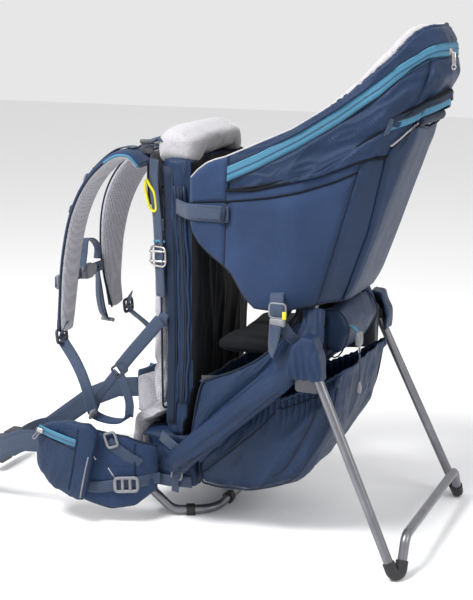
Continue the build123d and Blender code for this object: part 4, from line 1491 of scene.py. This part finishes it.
def tails():
    """Tension webbing from the adjusters to the hip belt."""
    pieces = []
    for s in (1, -1):
        line = [V(s * 119, -203, 288), V(s * 131, -174, 260), V(s * 141, -151, 226),
                V(s * 140, -139, 180)]
        pieces.append(strap(f"tension_web_{s + 1}", line, Vector((-0.39 * s, 0.92, 0.1)), 18, 2.2,
                            "web", None, steps=14))
    obj = join("tension_web", pieces)
    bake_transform(obj)
    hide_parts("strap_tails")
    for s, label in SIDES:
        plate(f"tension_anchor_{label}", V(s * 141, -138, 178), (22, 16, 5), "plastic",
              ACROSS, Vector((0, 0.3, 1)))


def sternum():
    """Chest strap with its buckle, a slack loop and a hanging tail."""
    y, z = -221, 386
    for s, label in SIDES:
        reach = 116 if s > 0 else 96
        line = [V(s * reach, y + 4, z + 2), V(s * (reach - 24), y, z), V(s * 54, y - 1, z - 1),
                V(s * 22, y, z - 1)]
        web = strap(f"sternum_web_{label}", line, UP, 19, 2.2, "web", "sternum")
        plate(f"sternum_slider_{label}", V(s * (reach - 8), y + 6, z + 1), (14, 24, 6),
              "plastic", ACROSS, UP, "sternum")
        if s == 1:
            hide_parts("sternum_strap")
    at = V(0, y, z - 2)
    body = plate("sternum_buckle_body", at, (27, 25, 9), "plastic", ACROSS,
                 UP, "sternum")
    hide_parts("sternum_buckle")
    for s in (1, -1):
        plate(f"sternum_buckle_jaw_{s + 1}", at + V(s * 18, 0, 0), (13, 20, 7), "plastic",
              ACROSS, UP, "sternum")
        plate(f"sternum_buckle_side_{s + 1}", at + V(0, -1, s * 11), (18, 4, 7), "plastic",
              ACROSS, UP, "sternum")
    plate("sternum_buckle_window", at + V(0, -4.4, 0), (14, 11, 1.4), "dark", ACROSS,
          UP, "sternum")
    strap("sternum_loop", [V(20, y - 2, 386), V(8, y - 4, 412), V(2, y - 3, 438),
                           V(-20, y - 3, 436), V(-42, y - 4, 418), V(-40, y - 4, 398)],
          Vector((0, 1, 0.1)), 15, 1.8, "web", "sternum")
    strap("sternum_tail", [V(-36, y - 3, 388), V(-42, y - 5, 362), V(-40, y - 4, 330),
                           V(-48, y - 3, 300), V(-66, y - 2, 282)],
          Vector((0.5, 0.9, 0)), 15, 1.8, "web", "sternum")
    strap("sternum_tail_back", [V(-36, y - 5, 388), V(-52, y - 8, 350), V(-60, y - 7, 312),
                                V(-67, y - 4, 284)], Vector((0.5, 0.9, 0)), 15, 1.8, "web",
          "sternum")
    rod("sternum_tail_bar", [V(-74, y - 16, 281), V(-69, y - 3, 282), V(-64, y + 12, 283)], 3.6,
        "plastic", "sternum")


# --- Hip belt ---------------------------------------------------------------
FIN_LINE = [(120, -32), (148, -62), (168, -118), (171, -170), (167, -214)]
FIN_TOP = [(-214, 150), (-170, 167), (-120, 160), (-70, 150), (-30, 128)]
FIN_LOW = [(-214, 86), (-140, 40), (-96, 28), (-60, 34), (-30, 60)]
POCKET_LINE = [(185, -104), (189, -130), (188, -170), (182, -222)]
POCKET_TOP = [(-222, 156), (-212, 160), (-190, 170), (-160, 178), (-118, 176), (-104, 165)]
POCKET_LOW = [(-222, 92), (-186, 58), (-140, 46), (-131, 47), (-113, 126), (-104, 160)]


def patch(name, route, top, low, thick, s, mats, body, puff=1.0, cols=32, steps=16, exp=0.6):
    """Padded panel that follows a plan curve between a lower and an upper edge."""
    line = spline([Vector((x, y, 0)) for x, y in route], steps)
    rings = []
    count = len(line)
    for i, (p, _, wide, up) in enumerate(frames_along(line, UP)):
        t = i / (count - 1)
        end = math.sin(math.pi * min(0.5, 4 * min(t, 1 - t) + 0.06)) ** 0.6
        z0, z1 = lookup(low, p.y), lookup(top, p.y)
        middle, half = (z0 + z1) / 2, (z1 - z0) / 2
        out = Vector((up.x, up.y, 0)).normalized()
        if out.x < 0:
            out = -out
        ring = []
        for k in range(cols):
            a = 2 * math.pi * (k + 0.5) / cols
            c, w = math.cos(a), math.sin(a)
            rise = math.copysign(abs(w) ** exp, w) * thick / 2 * end
            rise *= puff if w > 0 else 1.0
            q = p + out * rise
            ring.append(V(s * q.x, q.y, middle + half * math.copysign(abs(c) ** 0.75, c)))
        rings.append(ring)
    obj = rings_piece(name, rings, mats[0], body)
    if len(mats) > 1:
        obj.data.materials.append(MAT[mats[1]])
        for face in obj.data.polygons:
            columns = {v % cols for v in face.vertices}
            inner = len(face.vertices) == 4 and min(columns) >= cols // 2 - 1 and 0 not in columns
            face.material_index = 1 if inner else 0
    modify(obj, "SUBSURF", levels=1)
    return obj


def surface_line(points, s):
    """Mirror given points on the belt to one side."""
    return [V(s * x, y, z) for x, y, z in points]


def hip_belt():
    """Padded wings, pockets, webbing and buckles of the hip belt."""
    for s, label in SIDES:
        fin = patch(f"hip_wing_{label}", FIN_LINE, FIN_TOP, FIN_LOW, 14, s, ("soft", "mesh"),
                    "hip_belt")
        displace(fin, creases(1.2, (0, 0.9, 0.3), 6, 18, 4.0, 1.0))
        groove(fin, DEPTH, -98 * MM, 1.6, 3, Vector((-s, 0, 0)))
        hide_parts(f"hip_fin_{label}")
        for kind, table in (("top", FIN_TOP), ("low", FIN_LOW)):
            edge = [V(s * p.x, p.y, lookup(table, p.y)) for p in
                    spline([Vector((x, y, 0)) for x, y in FIN_LINE], 12)]
            rod(f"fin_binding_{kind}_{label}", edge, 2.4, "binding", "hip_belt", steps=1)
        pocket = patch(f"pocket_shell_{label}", POCKET_LINE, POCKET_TOP, POCKET_LOW, 16, s,
                       ("nylon",), "hip_belt", 1.25, 48, 22, 0.36)
        displace(pocket, creases(2.0, (0, 0.5, 0.86), 9, 30, 3.0))
        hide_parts(f"hip_pocket_{label}")
        zip_line = [V(s * (x + 1.5), y, z) for x, y, z in
                    ((196, -207, 161), (198.4, -186, 156), (199.4, -162, 150.5),
                     (198.6, -138, 145))]
        tape = strap(f"pocket_zip_tape_{label}", zip_line, Vector((s * 0.2, 0, 1)), 15, 1.8,
                     "sky", "hip_belt", steps=12)
        zipper_teeth(f"pocket_zip_coil_{label}", zip_line, V(s * 0.9, 0, 0), "coil",
                     "hip_belt", 1.8, 2.6)
        slider = plate(f"pocket_slider_body_{label}", V(s * 202.5, -203, 159.5), (11, 8, 3.6),
                       "silver", Vector((0, 0.97, -0.24)), Vector((0, 0.24, 0.97)),
                       f"pocket_slider_{label[0]}")
        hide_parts(f"pocket_slider_{label}")
        pull = ((203.5, -205, 159), (203.5, -211, 153), (203, -217, 146), (203, -213, 144),
                (203.5, -207, 151), (203.5, -202, 158))
        rod(f"pocket_pull_{label}", surface_line(pull, s), 1.2, "plastic",
            f"pocket_slider_{label[0]}")
        edge = side_hits(pocket, s, ((-117, 124), (-121, 106), (-126, 84), (-130, 66),
                                     (-134, 52)), 0.5)
        rod(f"pocket_piping_{label}", edge, 1.3, "plastic", "hip_belt")
        edge = side_hits(pocket, s, ((-134, 168), (-138, 138), (-147, 96), (-156, 62)), 0.3)
        rod(f"pocket_gusset_{label}", edge, 1.2, "binding", "hip_belt")
        edge = side_hits(pocket, s, ((-206, 150), (-186, 145), (-162, 139), (-140, 134)), 0.2)
        rod(f"pocket_fold_{label}", edge, 1.0, "binding", "hip_belt")
        belt_webbing(s, label, fin)


def belt_webbing(s, label, fin):
    """Stabiliser webbing, ladder lock, D-ring and front belt of one side."""
    body = "hip_belt"
    stab = side_hits(fin, s, ((-134, 66), (-112, 66), (-88, 70), (-66, 73), (-48, 76)), 2.4)
    strap(f"stabiliser_web_{label}", stab + surface_line(((130, -34, 76), (122, -26, 76)), s),
          Vector((0, 0.1, 1)), 20, 2.2, "web", body)
    at = side_hits(fin, s, ((-66, 73),), 6.5)[0]
    lock = frame_ring(f"ladder_lock_{label}", at, (37, 23), 5.6, "plastic",
                      Vector((-0.42 * s, 1, 0.03)), UP, body, cross_bars=2)
    if s == 1:
        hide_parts("belt_ladders")
    at = side_hits(fin, s, ((-90, 148),), 4.5)[0]
    frame_ring(f"fin_ring_{label}", at, (18, 24), 4.4, "plastic", Vector((-0.2 * s, 1, 0.35)),
               Vector((0, -0.35, 1)), body)
    web = side_hits(fin, s, ((-96, 144), (-84, 134), (-66, 120), (-48, 106)), 1.6)
    strap(f"fin_web_{label}", web, lambda t: Vector((0, 0.62, 0.78)), 20, 2.2, "web", body)
    for k, line in enumerate((((-97, 99), (-86, 83)), ((-120, 118), (-116, 112)))):
        rod(f"fin_tack_{label}_{k}", side_hits(fin, s, line, 0.5), 1.0, "pale", body, steps=2)
    seam = side_hits(fin, s, ((-57, 140), (-56, 110), (-56, 58)), 0.4)
    rod(f"fin_root_seam_{label}", seam, 1.5, "binding", body)
    seam = side_hits(fin, s, ((-120, 106), (-100, 104), (-80, 103), (-62, 103)), 0.4)
    stitches(f"fin_stitch_{label}", seam, "deep", body)
    edges = []
    for k in range(49):
        t = k / 48
        p = along_table(((168, -214.5), (165, -262), (158, -312), (138, -362), (110, -392),
                         (80, -400.5), (43, -400.5)), t)
        z = lookup([(-430, 41), (-385, 41), (-310, 100), (-262, 122), (-214, 128), (-200, 130)],
                   p.y)
        edges.append(V(s * p.x, p.y, z if p.x >= 112 else 41))
    belt = strap(f"belt_front_{label}", edges, UP, 38, 2.4, "web", body, steps=2)
    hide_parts(f"belt_web_{label}")
    stitches(f"belt_stitch_{label}", [p + V(s * 1.5, 0, 16) for p in edges[:40]], "web", body,
             steps=2)


def along_table(points, t):
    """Point at a share of a smooth plan line."""
    line = spline([Vector((x, y, 0)) for x, y in points], 10)
    place = t * (len(line) - 1)
    i = min(int(place), len(line) - 2)
    return line[i].lerp(line[i + 1], place - i)


# --- Stirrups ---------------------------------------------------------------
def stirrups():
    """Foot loops for the child, in flat webbing with an adjuster."""
    for s, label in SIDES:
        body = f"stirrup_{label[0]}"
        x = s * 121
        flat = Vector((0, 0.8, 0.6))
        top = strap(f"stirrup_strap_{label}", [V(x, -22, 344), V(x, -46, 316), V(x, -74, 284),
                                               V(x, -98, 255)], flat, 22, 2.4, "web", body)
        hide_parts(f"stirrup_{label}")
        frame_ring(f"stirrup_buckle_{label}", V(x, -98, 253), (26, 18), 4.0, "dark", flat,
                   Vector((0, -0.6, 0.8)), body, cross_bars=1)
        strap(f"stirrup_front_{label}", [V(x, -102, 248), V(x, -120, 226), V(x, -138, 202),
                                         V(x, -148, 180)], flat, 16, 2.2, "web", body)
        strap(f"stirrup_rear_{label}", [V(x, -98, 246), V(x, -88, 224), V(x, -81, 198),
                                        V(x, -82, 174)], Vector((0, 1, 0.1)), 16, 2.2, "web",
              body)
        sole = [V(x + s * out, y, z) for out, y, z in
                ((4, -152, 184), (6, -142, 171), (6, -116, 165), (6, -90, 168), (4, -79, 180))]
        strap(f"stirrup_sole_{label}", sole, ACROSS, 27, 3, "soft", body)
        tab = strap(f"stirrup_tab_{label}", [V(s * 108, -20, 352), V(s * 113, -22, 344),
                                             V(s * 114.5, -22, 332)], DEPTH, 18, 3,
                    "web")
        if s == 1:
            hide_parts("stirrup_anchors")


# --- Closing straps and small hardware --------------------------------------
def closures():
    """Wing straps, side entry buckle, column webbing, hook and hood slider."""
    for s, label in SIDES:
        line = [V(s * x, y, 528) for x, y in ((110, 4), (132, 24), (148, 42), (152.5, 60),
                                              (151.5, 84), (151, 110))]
        web = strap(f"wing_web_{label}", line, UP, 25, 2.4, "web", steps=12)
        if s == 1:
            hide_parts("wing_straps")
        for shift in (-9.5, 9.5):
            stitches(f"wing_stitch_{label}_{int(shift > 0)}",
                     [p + V(s * 1.5, 0, shift) for p in line[3:]], "binding")
        strap(f"wing_loop_{label}", [V(s * 150, 100, 512), V(s * 155, 102, 528),
                                     V(s * 150, 104, 544)], DEPTH, 8, 2, "deep")
        column_webbing(s, label)
    side_entry()
    hood_slider()


def column_webbing(s, label):
    """Webbing on the column's edge, with the hook, tab and ladder buckle."""
    x, y = s * 110.5, -28
    strap(f"column_web_{label}", [V(x, y - 6, 600), V(x, y - 7, 560), V(x, y - 2, 500),
                                  V(x, y, 440), V(x, y + 2, 380)], Vector((s * 0.5, 1, 0)), 22, 2.4,
          "web")
    strap(f"column_tab_{label}", [V(x + s * 2, y - 8, 470), V(x + s * 3, y + 2, 471),
                                  V(x + s * 2, y + 12, 470)], UP, 4, 2, "sky")
    frame_ring(f"column_ladder_{label}", V(x + s * 3, y, 446), (31, 31), 3.8, "silver",
               Vector((s * 0.3, 1, 0)), Vector((0, 0.05, 1)))
    for k, z in enumerate((438, 454)):
        rod(f"column_ladder_bar_{label}_{k}", [V(x + s * 3, y - 15, z), V(x + s * 4, y, z),
                                               V(x + s * 3, y + 15, z)], 1.9, "silver")
    hook = [V(x, y - 22, 566), V(x + s, y - 22, 550), V(x + s, y - 14, 522), V(x + s, y - 4, 520),
            V(x + s, y - 6, 545), V(x + s, y - 14, 558), V(x, y - 20, 568)]
    rod(f"hook_{label}", hook, 2.2, "yellow", steps=6)
    rod(f"hook_pull_{label}", [V(x + s * 2, y + 6, 560), V(x + s * 2, y + 7, 530),
                               V(x + s * 2, y + 8, 505)], 1.6, "lining")
    plate(f"hook_toggle_{label}", V(x + s * 2, y + 8, 497), (6, 20, 4), "dark",
          DEPTH, UP)


def side_entry():
    """Buckle below the left wall that opens for side entry, with its webbing."""
    at = V(163.5, 196, 391)
    socket = frame_ring("entry_frame", at + V(1, 0, -1), (26, 22), 3.4, "plastic",
                        DEPTH, UP)
    plate("entry_shell", at, (24, 19, 8), "web", DEPTH, UP)
    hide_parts("entry_socket")
    strap("entry_hanger", [V(150, 190, 414), V(158, 192, 408), V(163, 194, 398)],
          DEPTH, 22, 2.4, "web")
    body = "entry_tongue_body"
    tongue = plate("entry_tongue_plate", V(164, 196, 372), (24, 12, 8), "plastic",
                   DEPTH, UP, body)
    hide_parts("entry_tongue")
    plate("entry_release", V(167.6, 208, 384), (6, 12, 4), "yellow", DEPTH,
          UP, body)
    loose = strap("entry_tail", [V(168, 194, 368), V(168, 192, 350), V(167, 189, 334),
                                 V(165, 186, 320)],
                  lambda t: Vector((0.62 * t, 1 - 0.5 * t, 0)), 20, 1.8, "web", None)
    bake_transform(loose)
    lower = strap("entry_lower_web", [V(160, 203, 366), V(157, 212, 352), V(150, 220, 342)],
                  Vector((0, 0.7, 0.7)), 19, 2.2, "web", None, steps=12)
    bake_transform(lower)


def hood_slider():
    """Silver slider of the hood zip, with its pull."""
    low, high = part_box("hood_slider")
    at = (low + high) / 2
    body = "hood_slider_body"
    top = plate("slider_body", at, (13, 9, 3.4), "silver", ACROSS, UP,
                body)
    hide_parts("hood_slider")
    rod("slider_bail", [at + V(-4, 1, 0), at + V(-1.5, 4.6, -2), at + V(1.5, 4.6, -2),
                        at + V(4, 1, 0)], 1.1, "silver", body)
    across = Vector((-0.42, 0.9, 0)).normalized()
    strap("slider_pull", [at + V(0, 4, -1), at + V(1, 5.2, -9), at + V(1, 5.4, -20)],
          across, 6.8, 1.8, "silver", body)
    ring = [at + V(1, 5.4, -22.5 + 3.4 * math.cos(a)) + across * (3.2 * MM * math.sin(a))
            for a in (2 * math.pi * k / 16 for k in range(18))]
    rod("slider_pull_eye", ring, 1.3, "silver", body, steps=1)


# --- Metal and plastic CAD parts --------------------------------------------
NODE_FINISH = {
    "base_loop": "tube", "frame_hoop": "tube", "stand_tube": "tube", "seat_bands": "strut",
    "base_clips": "rubber", "stand_feet": "rubber", "stand_bosses": "dark",
    "pivot_pins": "silver", "back_rail": "dark",
    "hip_buckle_socket": "dark", "hip_buckle_prongs": "dark",
}


def finish_nodes():
    """Give each shown CAD part its own procedural finish."""
    for node, finish in NODE_FINISH.items():
        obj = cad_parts[node]
        obj.data.materials.clear()
        obj.data.materials.append(MAT[finish])
        for face in obj.data.polygons:
            face.material_index = 0


def check_shown():
    """Names of the plain CAD nodes that still show."""
    shown = [n for n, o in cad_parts.items() if not o.hide_render and n not in NODE_FINISH]
    if shown:
        print("plain nodes still shown:", shown)


make_camera()
make_studio()
make_materials()
bag_cord()
cockpit()
column()
back_pads()
base_body()
chin()
seat()
bag()
gussets()
sleeves()
cuffs()
housings()
tail()
harness()
sternum()
hip_belt()
stirrups()
closures()
finish_nodes()
check_shown()
bpy.context.view_layer.update()
